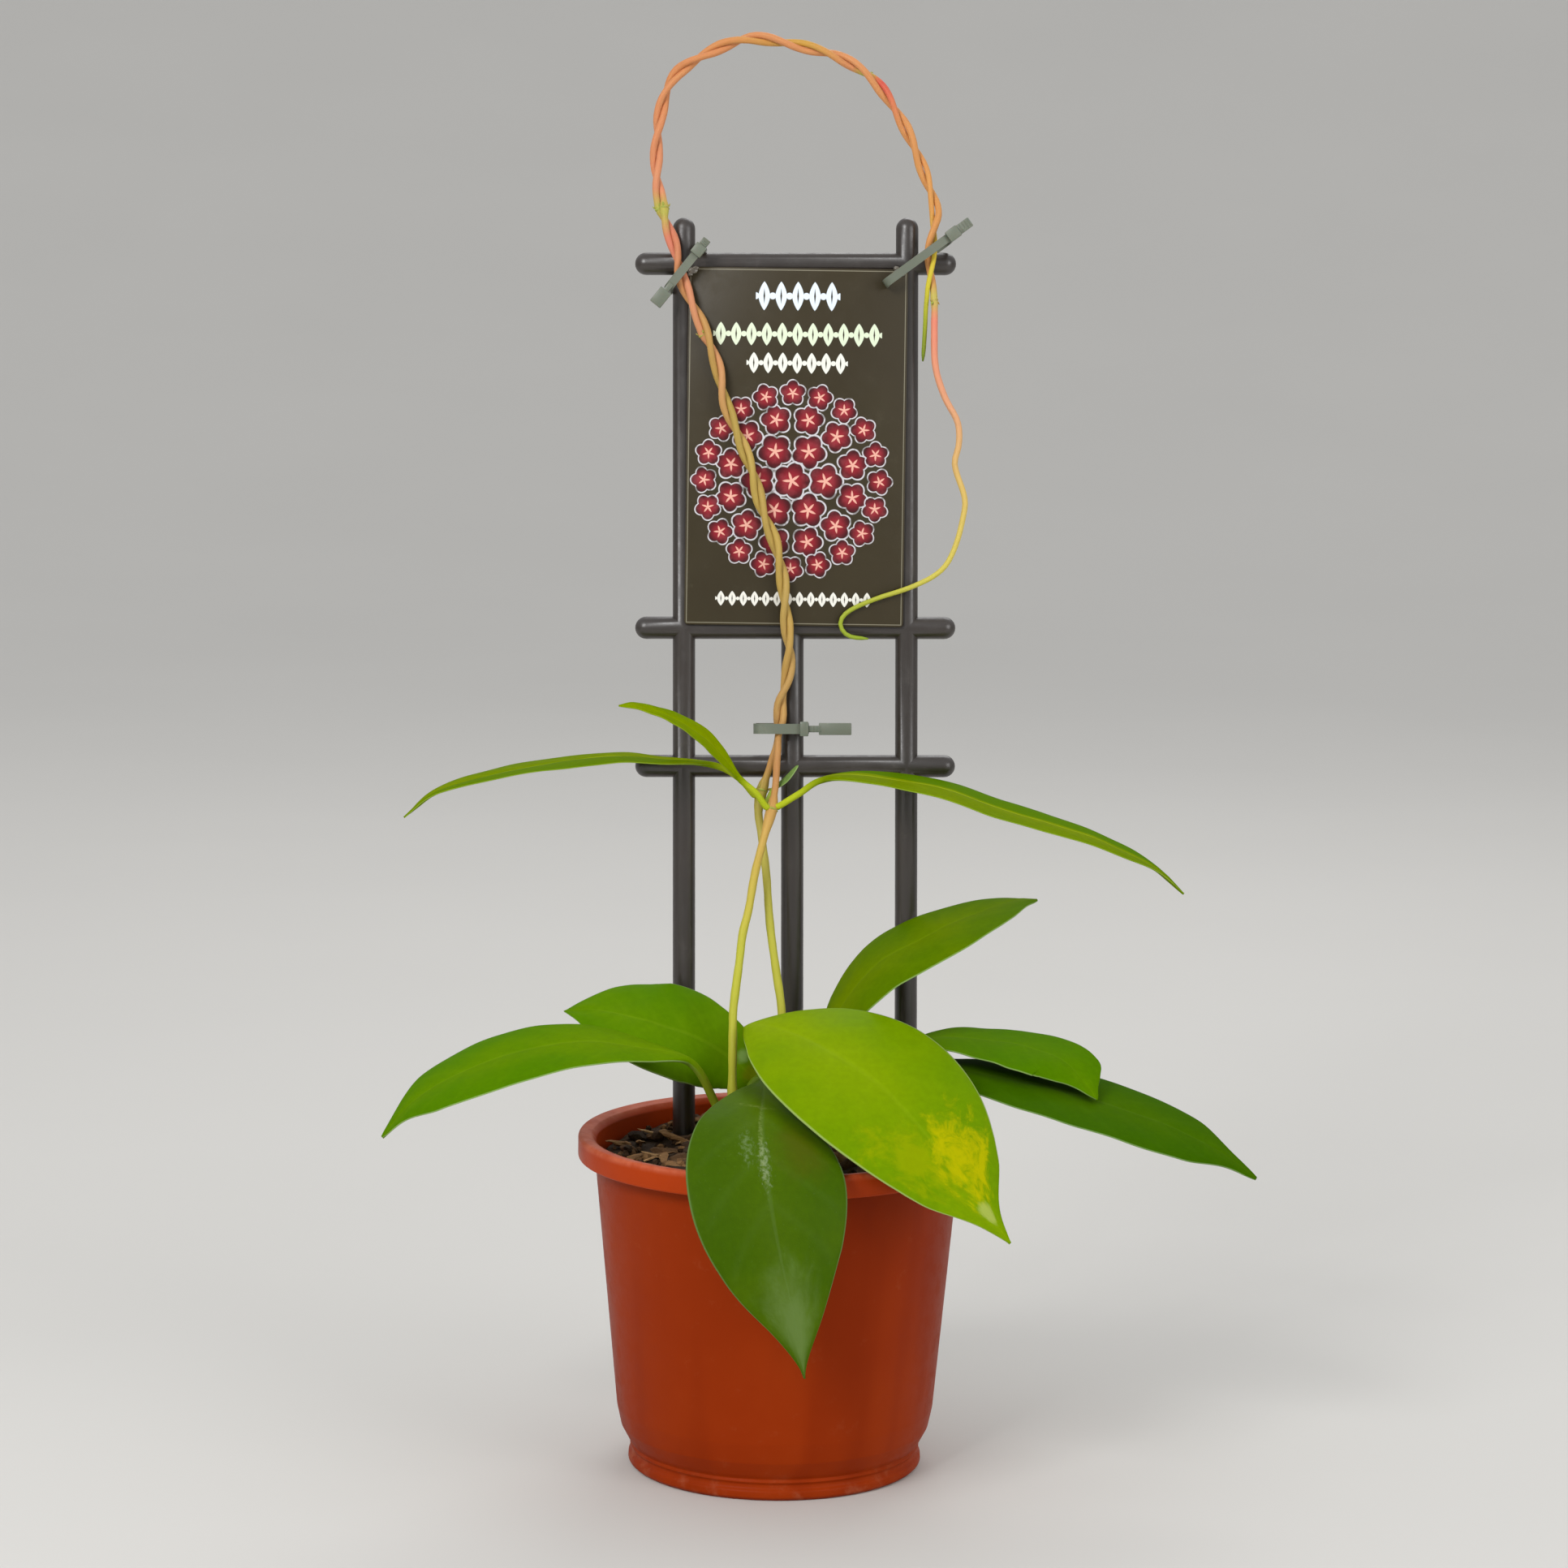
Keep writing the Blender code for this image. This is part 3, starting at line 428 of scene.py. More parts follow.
def tubeFrames(path, count):
    # points along a path with two side directions that don't spin
    total = pathLengths(path)
    frames = []
    side = None
    for i in range(count + 1):
        point, along = pointAt(path, total, total[-1] * i / count)
        if side is None:
            side = along.orthogonal().normalized()
        side = (side - along * side.dot(along)).normalized()
        frames.append((point, along, side, along.cross(side), total[-1] * i / count))
    return frames


def makeStem(name, path, nodes, material):
    length = pathLengths(path)[-1]
    count = round(length / stemShape["step"])
    frames = tubeFrames(path, count)
    bm = bmesh.new()
    bmesh.ops.create_grid(bm, x_segments=stemShape["sides"], y_segments=count, size=0.5)
    layer = bm.verts.layers.float_vector.new("stemPlace")
    for v in bm.verts:
        turn = 2 * math.pi * (v.co.x + 0.5)
        ring = round((v.co.y + 0.5) * count)
        point, along, side, other, distance = frames[ring]
        radius = stemRadius(distance, nodes, length)
        if ring in (0, count):
            radius *= 0.35
        elif ring in (1, count - 1):
            radius *= 0.85
        v[layer] = (distance / length, turn, distance)
        v.co = (point + radius * (math.cos(turn) * side + math.sin(turn) * other)) * mm
    closeTube(bm)
    finishPiece(name, bm, [material], [name])


# Leaves, in millimetres: the stalk from its stem, then the midrib of the blade

leafUsual = {"thick": 1.3, "curl": 0.10, "channel": 0.06, "reach": 1.35}
thinLeaf = {"thick": 0.9, "curl": 0.12, "channel": 0.12, "reach": 1.3}
leafShapes = {
    "leaf_front": dict(
        stem=(-16, -5, 127), stalk=((-9, -8, 137),),
        mid=((-5, -12, 140), (-5, -38, 139), (-5.3, -64, 131), (-2.8, -82, 116), (1.8, -90, 94),
             (6.6, -92, 74), (10, -93, 55)),
        width=54, belly=0.53, taper=1.5, tip=0.0, roll=(12, 2)),
    "leaf_big": dict(
        stem=(-16, -6, 118), stalk=((-10.5, -1, 125), (-6, 0, 136), (-8.5, -2, 147)),
        mid=((-11, -6, 156), (0, -16, 158), (14, -28, 155), (31, -42, 147), (45.5, -55, 135.4),
             (58.8, -66, 120.6), (70.2, -73, 107), (78.6, -76, 97.6)),
        width=65, belly=0.44, taper=1.05, tip=0.4, roll=(-27, -28), channel=0.05),
    "leaf_left_front": dict(
        stem=(-16, -6, 121), stalk=((-22, -11, 131),),
        mid=((-30, -17, 146), (-45, -20, 151), (-62, -23, 154), (-77, -25, 153.5),
             (-95, -27, 149.5), (-113, -29, 142), (-126, -31, 133.5), (-136, -33, 122)),
        width=51, belly=0.58, taper=0.7, tip=0.5, roll=(17, 13)),
    "leaf_left_back": dict(
        stem=(2, 9, 123), stalk=((-1.5, 7, 127),),
        mid=((-5, 8, 131.5), (-16, 9.5, 141.5), (-29, 8, 150), (-43, 6, 155), (-56, 8, 158),
             (-67, 11, 159), (-76, 14, 158)),
        width=42, belly=0.5, taper=0.95, tip=0.2, roll=(54, 34, 26, 28)),
    "leaf_back_right": dict(
        stem=(2, 10, 135), stalk=((9, 11, 140),),
        mid=((17, 9, 147.5), (22.5, 11, 161), (34, 11, 175.7), (50, 13, 185), (67, 21, 192),
             (82, 29, 196), (92, 36, 196)),
        width=45, belly=0.42, taper=0.8, tip=0.25, roll=(-18, -20)),
    "leaf_right": dict(
        stem=(2, 9, 126), stalk=((14, 12, 136),),
        mid=((38, 12, 145), (57, 10, 150.5), (72, 8, 150), (86, 5, 148.5), (98, 0, 145.5),
             (105, -6, 140.5), (111, -14, 133.8)),
        width=41, belly=0.56, taper=0.7, tip=0.5, roll=(-1, -5, -14)),
    "leaf_right_low": dict(
        stem=(2, 9, 118), stalk=((14, 4, 127),),
        mid=((40, -2, 142), (63, -4, 141.5), (86, -6, 138), (108, -8, 133), (131, -12, 126),
             (150, -15, 118), (167, -17, 107)),
        width=56, belly=0.54, taper=0.75, tip=0.5, roll=(-7, -10)),
    "leaf_upper_right": dict(
        thinLeaf, stem=(-3, 29, 229.4), stalk=((6.5, 28, 234.6),),
        mid=((15, 27, 239.8), (31, 25, 241), (59, 21, 237), (77, 18, 231), (99, 15, 225),
             (114, 13, 220), (131, 11, 212), (142, 9, 203)),
        width=36, belly=0.43, taper=0.8, tip=0.4, roll=(-1, -1), reach=0.8),
    "leaf_upper_left": dict(
        thinLeaf, stem=(-7, 34, 232.5), stalk=((-15, 32, 239.3),),
        mid=((-24, 31, 244), (-43, 29, 246), (-58, 28, 247), (-77, 26, 245), (-100, 23, 241),
             (-121, 20, 235), (-133, 18, 226)),
        width=30, belly=0.5, taper=0.85, tip=0.4, roll=(0, 0)),
    "leaf_upper_back": dict(
        thinLeaf, stem=(-3, 28.5, 229), stalk=((-9, 26, 235),),
        mid=((-15, 24, 240.5), (-21, 18, 249.2), (-29, 10, 257.8), (-39, 2, 264.6),
             (-49, -6, 268.8), (-56, -14, 270.4)),
        width=13.5, belly=0.5, taper=0.85, tip=0.3, roll=(52, 40, 20, 2)),
    "leaf_young": dict(
        stem=(-7.5, 35, 231), stalk=(), mid=((-2.4, 35.5, 235), (2, 34.5, 239), (6, 33, 244)),
        width=5.0, belly=0.5, taper=0.8, tip=0.0, roll=(-12, -12), reach=1.2, thick=0.8, curl=0.1,
        channel=0.1),
}
leafBuild = {"sides": 56, "rings": 84, "stalkRings": 14, "stalkRadius": 1.5,
             "upperStalkRadius": 1.15}


def halfWidth(leaf, s):
    taper = leaf["taper"]
    top = leaf["belly"]
    base = taper * top / (1 - top)
    s = min(max(s, 0.0), 1.0)
    nearTip = min(max((s - 0.80) / 0.16, 0.0), 1.0)
    drawn = 1 - leaf["tip"] * nearTip ** 2 * (3 - 2 * nearTip)
    return drawn * s ** base * (1 - s) ** taper / (top ** base * (1 - top) ** taper)


def rollAt(rolls, s):
    # rolls are given at even spaces along the blade
    place = min(max(s, 0.0), 1.0) * (len(rolls) - 1)
    i = min(int(place), len(rolls) - 2)
    return rolls[i] + (rolls[i + 1] - rolls[i]) * (place - i)


def leafFrames(leaf, stemAxis):
    # rings from the stalk's foot to the tip: centre, across, normal and sizes
    b = leafBuild
    stalkRadius = b["upperStalkRadius"] if leaf["thick"] < 1 else b["stalkRadius"]
    origin = Vector(leaf["stem"])
    away = Vector((leaf["stalk"] + leaf["mid"][:1])[0]) - origin
    away -= stemAxis * away.dot(stemAxis)
    away.normalize()
    reach = leaf["reach"]
    stalk = [origin + away * reach, origin + away * (reach + 1.5)]
    stalk += [Vector(p) for p in leaf["stalk"]]
    path = smoothPath(stalk + [Vector(p) for p in leaf["mid"]], perSpan=12)
    total = pathLengths(path)
    bladeStart = total[12 * len(stalk)]
    blade = total[-1] - bladeStart
    stations = [bladeStart * i / b["stalkRings"] for i in range(b["stalkRings"])]
    start = len(stations)
    for i in range(b["rings"] + 1):
        s = 0.5 - 0.5 * math.cos(math.pi * i / b["rings"])
        stations.append(bladeStart + blade * min(0.35 * s + 0.65 * i / b["rings"], 0.998))
    spots = [pointAt(path, total, distance) for distance in stations]
    sides = {start: spots[start][1].cross(Vector((0, 0, 1))).normalized()}
    for i in [*range(start + 1, len(spots)), *range(start - 1, -1, -1)]:
        before = sides[i - 1] if i > start else sides[i + 1]
        along = spots[i][1]
        sides[i] = (before - along * before.dot(along)).normalized()
    rings = []
    for i, distance in enumerate(stations):
        point, along = spots[i]
        up = sides[i].cross(along)
        s = (distance - bladeStart) / blade
        roll = math.radians(rollAt(leaf["roll"], s))
        across = sides[i] * math.cos(roll) + up * math.sin(roll)
        normal = up * math.cos(roll) - sides[i] * math.sin(roll)
        grown = leaf["width"] / 2 * halfWidth(leaf, s) if s > 0 else 0.0
        root = stalkRadius * (1 - 0.62 * max(s, 0) ** 0.5)
        wide = math.hypot(grown, root if s < 0.9 else 0.3 + (root - 0.3) * (1 - s) / 0.1)
        thin = min(max(s / 0.16, 0.0), 1.0)
        deep = stalkRadius + (leaf["thick"] / 2 - stalkRadius) * thin
        if s > 0.94:
            deep *= 1 - 0.6 * (s - 0.94) / 0.06
        rings.append(dict(point=point, across=across, normal=normal, wide=wide, grown=grown,
                          deep=deep, thin=thin, s=s, back=distance - bladeStart))
    return rings


def makeLeaf(name, leaf, stemAxis, material, seed):
    rings = leafFrames(leaf, stemAxis)
    sides, count = leafBuild["sides"], len(rings) - 1
    bm = bmesh.new()
    bmesh.ops.create_grid(bm, x_segments=sides, y_segments=count, size=0.5)
    layer = bm.verts.layers.float_vector.new("leafPlace")
    for v in bm.verts:
        ring = rings[round((v.co.y + 0.5) * count)]
        turn = v.co.x + 0.5
        upper = 0.5 if turn in (0.0, 1.0) else (1.0 if turn < 0.5 else 0.0)
        t = 1 - 4 * turn if turn <= 0.5 else 4 * turn - 3
        even = math.cos(2 * math.pi * turn)
        close = t - 0.118 * math.sin(2 * math.pi * t)
        u = even + (close - even) * ring["thin"]
        round01 = math.sqrt(max(1 - u * u, 0.0))
        shape = round01 ** (1 - 0.45 * ring["thin"])
        lift = ring["deep"] * shape * (1 if turn <= 0.5 else -1)
        s, grown = ring["s"], ring["grown"]
        lift += grown * (leaf["channel"] * abs(u) - leaf["curl"] * u * u)
        if s > 0 and leaf["width"] > 5:
            edge = math.copysign(abs(u) ** 2.2, u)
            wave = noise.noise(Vector((s * 3.1, seed + (4 if u > 0 else 0), 0.3)))
            lift += 0.9 * wave * abs(edge) * ring["thin"]
            lift += 0.35 * noise.noise(Vector((s * 9, u * 2.2, seed))) * ring["thin"]
            rib = math.exp(-(u * grown / 0.9) ** 2) * ring["thin"] * (1 - 0.7 * s)
            fold = 0.22 if leaf["thick"] < 1 else 0.09
            lift += (-fold if turn < 0.5 else -0.45) * rib
        v[layer] = (u, s, upper)
        v.co = (ring["point"] + ring["across"] * ring["wide"] * u + ring["normal"] * lift) * mm
    closeTube(bm)
    finishPiece(name + ".blade", bm, [material], [name])


def nearestOn(path, spot):
    spot = Vector(spot)
    best = min(range(1, len(path) - 1), key=lambda i: (path[i] - spot).length)
    return path[best], (path[best + 1] - path[best - 1]).normalized()


# Leaf skin: blade colour, midrib, side veins, pale margin and blotches

def leafSkinGroup():
    given = newGroup("leafSkin", ("Place", "Object"),
                     ("Blade", "Glow", "Rib", "Margin", "Under", "Stalk"),
                     {"Glow Amount": 0.5, "Rib Amount": 0.5, "Vein Amount": 0.2,
                      "Margin Amount": 0.7})
    across, along, upper = split(given["Place"])
    wide = abs(across)
    broad = cloud(given["Object"], 22.0, 3.0, 0.55)
    fine = cloud(given["Object"], 420.0, 4.0, 0.6)
    fleck = cloud(given["Object"], 950.0, 2.0, 0.7)
    # glow: yellower near the foot of the blade, along the rib and in broad blotches
    foot, inner = fade(along, 0.0, 0.55, 1.0, 0.0), fade(wide, 0.0, 0.75, 0.7, 0.0)
    glow = (foot + (inner + fade(broad, 0.40, 0.68))) * given["Glow Amount"]
    colour = blend(calc("MINIMUM", glow * 0.5, 1.0), given["Blade"], given["Glow"])
    # side veins run out and forward from the rib
    ragged = along - wide * 0.20 + broad * 0.05
    veins = calc("POWER", abs(calc("SINE", ragged * 24.0)), 14.0)
    veins = veins * fade(wide, 0.75, 0.95, 1.0, 0.0) * given["Vein Amount"]
    colour = blend(veins, colour, given["Rib"])
    # fine flecks
    colour = blend(fade(fleck, 0.62, 0.80) * 0.14, colour, given["Rib"])
    colour = vectorMath(colour, "SCALE", 3, fade(fine, 0.25, 0.75, 0.94, 1.05))
    # underside, midrib, margin and stalk
    colour = blend(fade(upper, 0.2, 0.55, 1.0, 0.0), colour, given["Under"])
    ribWide = fade(along, 0.0, 1.0, 0.075, 0.018)
    rib = fade(1.0 - calc("MINIMUM", wide / ribWide, 1.0), 0.0, 0.7)
    colour = blend(rib * given["Rib Amount"], colour, given["Rib"])
    rim = fade(wide, 0.972, 0.994) * given["Margin Amount"]
    colour = blend(rim * fade(along, 0.0, 0.06), colour, given["Margin"])
    stalk = blend(fade(fleck, 0.55, 0.75, 0.0, 0.5), given["Stalk"], given["Rib"])
    colour = blend(fade(along, -0.10, 0.03, 1.0, 0.0), colour, stalk)
    return finishGroup(Color=colour, Roughness=fade(broad, 0.3, 0.7, 0.38, 0.48) + fine * 0.10,
                       Height=fine * 0.35 + veins * -1.6 + broad * 1.2)


leafPlain = {"Subsurface Weight": 0.05, "Subsurface Radius": (0.7, 1.0, 0.1),
             "Subsurface Scale": 0.0010}


def addMark(colour, spot, across, along, upper, x, y, wide, long, grain, stretch, rough, soft,
            amount, tint, slant=0.0, broken=None):
    # a patch of other colour at a place on the blade, ragged and streaked along the rib
    dx = (across - x) / wide - (along - y) * slant
    dy = (along - y) / long
    streaks = cloud(merge(across * grain, along * (grain * stretch), x), 1.0, 6.0, 0.68, 0.5)
    ragged = radial(dx, dy) + (streaks - 0.5) * rough
    mask = fade(ragged, soft, 1.0, 1.0, 0.0) * amount * fade(upper, 0.3, 0.6)
    if broken:
        mask = mask * fade(cloud(spot, broken, 3.0, 0.7), 0.38, 0.64)
    return layers(colour, (mask, tint))


def leafMaterial(name, group, look, gloss, marks):
    material, spot = newMaterial(name, {**leafPlain, "Specular IOR Level": gloss})
    place = attribute(spot, "leafPlace")
    made = useGroup(group, {**look, "Place": place, "Object": spot})
    colour, axes = made["Color"], split(place)
    for mark in marks:
        colour = addMark(colour, spot, *axes, *mark)
    return finishSurface(material, colour, made["Roughness"], made["Height"], 0.35, 0.0006)


leafParts = ("Blade", "Glow", "Rib", "Margin", "Under", "Stalk")
leafAmounts = {"Glow Amount": 0.55, "Rib Amount": 0.12, "Vein Amount": 0.03, "Margin Amount": 0.8}


leafLooks = {
    # gloss, then the colours of the parts
    "leaf_front": (0.045, (58, 87, 0), (90, 115, 4), (110, 136, 76), (108, 136, 76),
                   (84, 112, 40), (96, 116, 24)),
    "leaf_big": (0.02, (100, 135, 0), (136, 158, 0), (152, 176, 24), (168, 190, 112),
                 (124, 146, 48), (104, 118, 22)),
    "leaf_left_front": (0.003, (76, 119, 0), (108, 137, 0), (136, 166, 30), (146, 172, 104),
                        (104, 134, 44), (126, 140, 30)),
    "leaf_left_back": (0.02, (78, 120, 0), (106, 137, 0), (136, 166, 30), (146, 172, 104),
                       (104, 134, 44), (126, 140, 30)),
    "leaf_back_right": (0.004, (80, 112, 0), (120, 136, 0), (136, 162, 22), (140, 168, 98),
                        (104, 134, 44), (104, 120, 26)),
    "leaf_right": (0.002, (74, 116, 0), (100, 131, 0), (120, 152, 30), (140, 168, 98),
                   (98, 128, 44), (104, 120, 26)),
    "leaf_right_low": (0.002, (54, 91, 0), (72, 103, 0), (100, 130, 40), (128, 154, 96),
                       (84, 114, 40), (96, 116, 24)),
    "leaf_upper": (0.002, (99, 124, 0), (132, 144, 0), (168, 184, 46), (140, 164, 60),
                   (112, 136, 6), (172, 184, 40)),
    "leaf_upper_back": (0.002, (116, 143, 0), (146, 156, 0), (140, 168, 20), (146, 160, 50),
                        (122, 146, 10), (172, 184, 40)),
    "leaf_young": (0.05, (112, 144, 72), (130, 156, 84), (150, 172, 104), (150, 168, 112),
                   (120, 148, 84), (150, 166, 60)),
}
leafMarks = {
    # place across and along, half width and length, grain, stretch, ragged, soft, amount, tint,
    # and for some a slant and the scale at which the patch is broken up
    "leaf_big": (
        (-0.30, 0.76, 0.60, 0.17, 4.0, 4.2, 2.8, 0.2, 0.65, (192, 178, 0), 1.5),
        (0.42, 0.70, 0.55, 0.16, 4.5, 4.2, 2.8, 0.2, 0.40, (160, 162, 0)),
        (-0.06, 0.905, 0.40, 0.040, 5.0, 5.0, 0.8, 0.5, 0.75, (164, 176, 84))),
    "leaf_left_back": (
        (0.30, 0.165, 0.30, 0.035, 8.0, 3.0, 1.0, 0.3, 0.7, (134, 164, 92)),
        (0.1, 0.09, 0.7, 0.05, 5.0, 3.0, 1.0, 0.3, 0.5, (128, 128, 10))),
    "leaf_upper_right": (
        (-0.55, 0.50, 0.50, 0.62, 2.0, 3.0, 0.2, 0.8, 0.75, (70, 112, 0)),),
    "leaf_upper_left": (
        (-0.55, 0.55, 0.50, 0.62, 2.0, 3.0, 0.2, 0.8, 0.5, (76, 112, 0)),),
    "leaf_front": (
        (0.02, 0.36, 0.05, 0.24, 26.0, 3.0, 2.0, 0.2, 0.65, (116, 134, 66), 0.0, 800.0),
        (0.0, 0.47, 0.10, 0.09, 30.0, 2.4, 2.8, 0.2, 0.60, (142, 156, 118), 0.0, 700.0),
        (0.22, 0.42, 0.13, 0.07, 24.0, 2.4, 2.8, 0.2, 0.50, (118, 140, 92), -3.0, 600.0),
        (0.15, 0.26, 0.55, 0.009, 9.0, 1.0, 1.2, 0.2, 0.60, (116, 132, 60), 0.0, 500.0),
        (-0.5, 0.42, 0.45, 0.15, 3.0, 4.0, 1.0, 0.1, 0.45, (84, 78, 8)),
        # painted sheen: pale grey-green across the blade near the tip
        (0.0, 0.88, 0.9, 0.20, 3.0, 4.0, 1.0, 0.1, 0.7, (100, 124, 66))),
}


def makeLeaves(paths):
    onB = ("leaf_left_back", "leaf_back_right", "leaf_right", "leaf_right_low",
           "leaf_upper_left", "leaf_young")
    group = leafSkinGroup()
    for seed, (name, own) in enumerate(leafShapes.items()):
        leaf = {**leafUsual, **own}
        spot, axis = nearestOn(paths[1 if name in onB else 0], leaf["stem"])
        gloss, *tints = leafLooks.get(name, leafLooks["leaf_upper"])
        look = {**leafAmounts, **{part: rgb(*tint) for part, tint in zip(leafParts, tints)}}
        if leaf["thick"] < 1:
            look["Rib Amount"] = 0.5
        skin = leafMaterial(name + "Skin", group, look, gloss, leafMarks.get(name, ()))
        makeLeaf(name, {**leaf, "stem": tuple(spot)}, axis, skin,
                 3.7 * seed)


# Stem skin: runs of green, tan and pink along each stem

stemRuns = {
    "vine_a": (
        (0, (176, 178, 48)), (100, (184, 182, 58)), (125, (192, 170, 72)), (145, (196, 156, 82)),
        (153, (188, 142, 78)), (165, (182, 128, 78)), (185, (186, 142, 82)), (225, (180, 148, 76)),
        (280, (180, 154, 78)), (312, (194, 142, 92)), (345, (204, 136, 100)), (368, (206, 122, 98)),
        (378, (168, 172, 70)), (385, (210, 136, 100)), (425, (200, 130, 82)), (500, (204, 138, 90)),
        (560, (204, 142, 80)), (592, (204, 142, 86)), (599, (184, 182, 88)), (605, (222, 130, 108)),
        (640, (216, 158, 118)), (668, (210, 178, 100)), (700, (204, 190, 84)),
        (725, (170, 176, 58)), (754, (134, 158, 40))),
    "vine_b": (
        (0, (178, 178, 56)), (100, (182, 178, 62)), (140, (176, 162, 78)), (153, (170, 156, 68)),
        (164, (184, 136, 78)), (175, (182, 138, 84)), (225, (178, 148, 80)), (300, (172, 146, 72)),
        (340, (188, 136, 84)), (370, (200, 118, 92)), (377, (168, 172, 72)), (384, (206, 134, 98)),
        (450, (200, 134, 80)), (478, (190, 146, 62)), (497, (204, 132, 92)), (503, (164, 176, 64)),
        (508, (204, 78, 72)), (525, (204, 138, 86)), (560, (206, 146, 76)), (574, (208, 178, 56)),
        (588, (204, 190, 54)), (600, (156, 166, 42)), (615, (104, 126, 34))),
}


def stemMaterial(name, runs, length):
    material, spot = newMaterial(name, {
        "Specular IOR Level": 0.2, "Subsurface Weight": 0.08,
        "Subsurface Radius": (1.0, 0.6, 0.2), "Subsurface Scale": 0.0008})
    share, turn, distance = split(attribute(spot, "stemPlace"))
    around = merge(calc("SINE", turn) * 2.0, calc("COSINE", turn) * 2.0, distance * 0.06)
    streaks, speck = cloud(around, 1.6, 4.0, 0.6), cloud(spot, 1700.0, 2.0, 0.7)
    colour = layers(ramp(share, [(at / length, colour) for at, colour in runs]),
                    (fade(streaks, 0.54, 0.74, 0.0, 0.22), (110, 92, 30)),
                    (fade(streaks, 0.44, 0.28, 0.0, 0.20), (214, 200, 110)),
                    (fade(speck, 0.64, 0.78, 0.0, 0.22), (226, 218, 160)))
    return finishSurface(material, colour, fade(streaks, 0.3, 0.7, 0.46, 0.58),
                         streaks * 0.6 + speck * 0.4, 0.12, 0.0002)


nodeShape = {
    "collar": 1.10, "collarHigh": 0.8, "scale": (0.86, 0.45, 1.5), "bud": (0.88, 0.88, 1.8),
    "parts": ((130, 24.0, "scale"), (230, 24.0, "scale"), (0, 52.0, "bud")),
}


def addCollar(bm, layer, place, radius, share):
    # the raised ring left by a leaf pair, with two scales and a bud above it
    n = nodeShape
    for v in bmesh.ops.create_uvsphere(bm, u_segments=20, v_segments=10, radius=1.0)["verts"]:
        angle = math.atan2(v.co.y, v.co.x)
        wide = radius * n["collar"] * (1 + 0.10 * math.sin(3 * angle))
        v[layer] = (share, angle, 0.0)
        v.co = place @ Vector((v.co.x * wide, v.co.y * wide, v.co.z * n["collarHigh"]))
    for turn, tilt, kind in n["parts"]:
        wide, thick, tall = n[kind]
        lean = (Matrix.Rotation(math.radians(turn), 4, "Z") @ Matrix.Translation((radius, 0, 0.7))
                @ Matrix.Rotation(math.radians(tilt), 4, "Y"))
        for v in bmesh.ops.create_uvsphere(bm, u_segments=12, v_segments=10, radius=0.5)["verts"]:
            point = 1 - 0.75 * max(v.co.z * 2, 0) ** 2
            v[layer] = (share, turn, 0.6)
            v.co = place @ lean @ Vector((v.co.x * thick * point, v.co.y * wide * point,
                                          v.co.z * tall + tall * 0.3))


def collarMaterial():
    material, spot = newMaterial("nodeScale", {"Specular IOR Level": 0.35})
    broad, fine = cloud(spot, 160.0, 4.0, 0.6), cloud(spot, 1600.0, 3.0, 0.7)
    colour = layers(blend(fade(broad, 0.46, 0.70), rgb(158, 166, 70), rgb(182, 136, 82)),
                    (fade(fine, 0.55, 0.75, 0.0, 0.4), (104, 84, 48)))
    return finishSurface(material, colour, fade(fine, 0.3, 0.7, 0.5, 0.7), fine, 0.5, 0.0003)


def makeCollars(name, path, nodes, material):
    total = pathLengths(path)
    bm = bmesh.new()
    layer = bm.verts.layers.float_vector.new("stemPlace")
    for i, distance in enumerate(nodes):
        point, along = pointAt(path, total, distance)
        turn = Vector((0, 0, 1)).rotation_difference(along).to_matrix().to_4x4()
        place = (Matrix.Scale(mm, 4) @ Matrix.Translation(point) @ turn
                 @ Matrix.Rotation(1.1 * i, 4, "Z"))
        addCollar(bm, layer, place, stemRadius(distance, nodes, total[-1]), distance / total[-1])
    finishPiece(name + ".nodes", bm, [material], [], sharp=50)


def makeStems(paths):
    collars = collarMaterial()
    for (name, key), path in zip((("vine_a", "nodesA"), ("vine_b", "nodesB")), paths):
        skin = stemMaterial(name + "Skin", stemRuns[name], pathLengths(path)[-1])
        makeStem(name, path, stemShape[key], skin)
        makeCollars(name, path, stemShape[key], collars)


# Moulded plastic: satin colour with fine grain, faint flow and dust

def plasticGroup():
    given = newGroup("mouldedPlastic", ("Object",), ("Body", "Worn", "Dust"),
                     {"Base Roughness": 0.4, "Dust Amount": 0.2})
    broad = cloud(given["Object"], 16.0, 4.0, 0.55)
    grain = cloud(given["Object"], 1500.0, 3.0, 0.6)
    scuff = cloud(given["Object"], 130.0, 6.0, 0.72)
    colour = blend(fade(broad, 0.35, 0.68, 0.0, 0.5), given["Body"], given["Worn"])
    colour = blend(fade(scuff, 0.58, 0.74) * given["Dust Amount"], colour, given["Dust"])
    rough = given["Base Roughness"] + fade(scuff, 0.4, 0.7, -0.03, 0.10)
    return finishGroup(Color=colour, Roughness=rough, Height=grain * 0.5 + scuff * 0.8)


def usePlastic(group, spot, body, patches, dust, roughness, amount):
    return useGroup(group, {"Object": spot, "Body": rgb(*body), "Worn": rgb(*patches),
                            "Dust": rgb(*dust), "Base Roughness": roughness,
                            "Dust Amount": amount})


def plasticMaterial(name, group, plain, *look):
    material, spot = newMaterial(name, plain)
    made = usePlastic(group, spot, *look)
    return finishSurface(material, made["Color"], made["Roughness"], made["Height"], 0.25, 0.0002)


# Pot

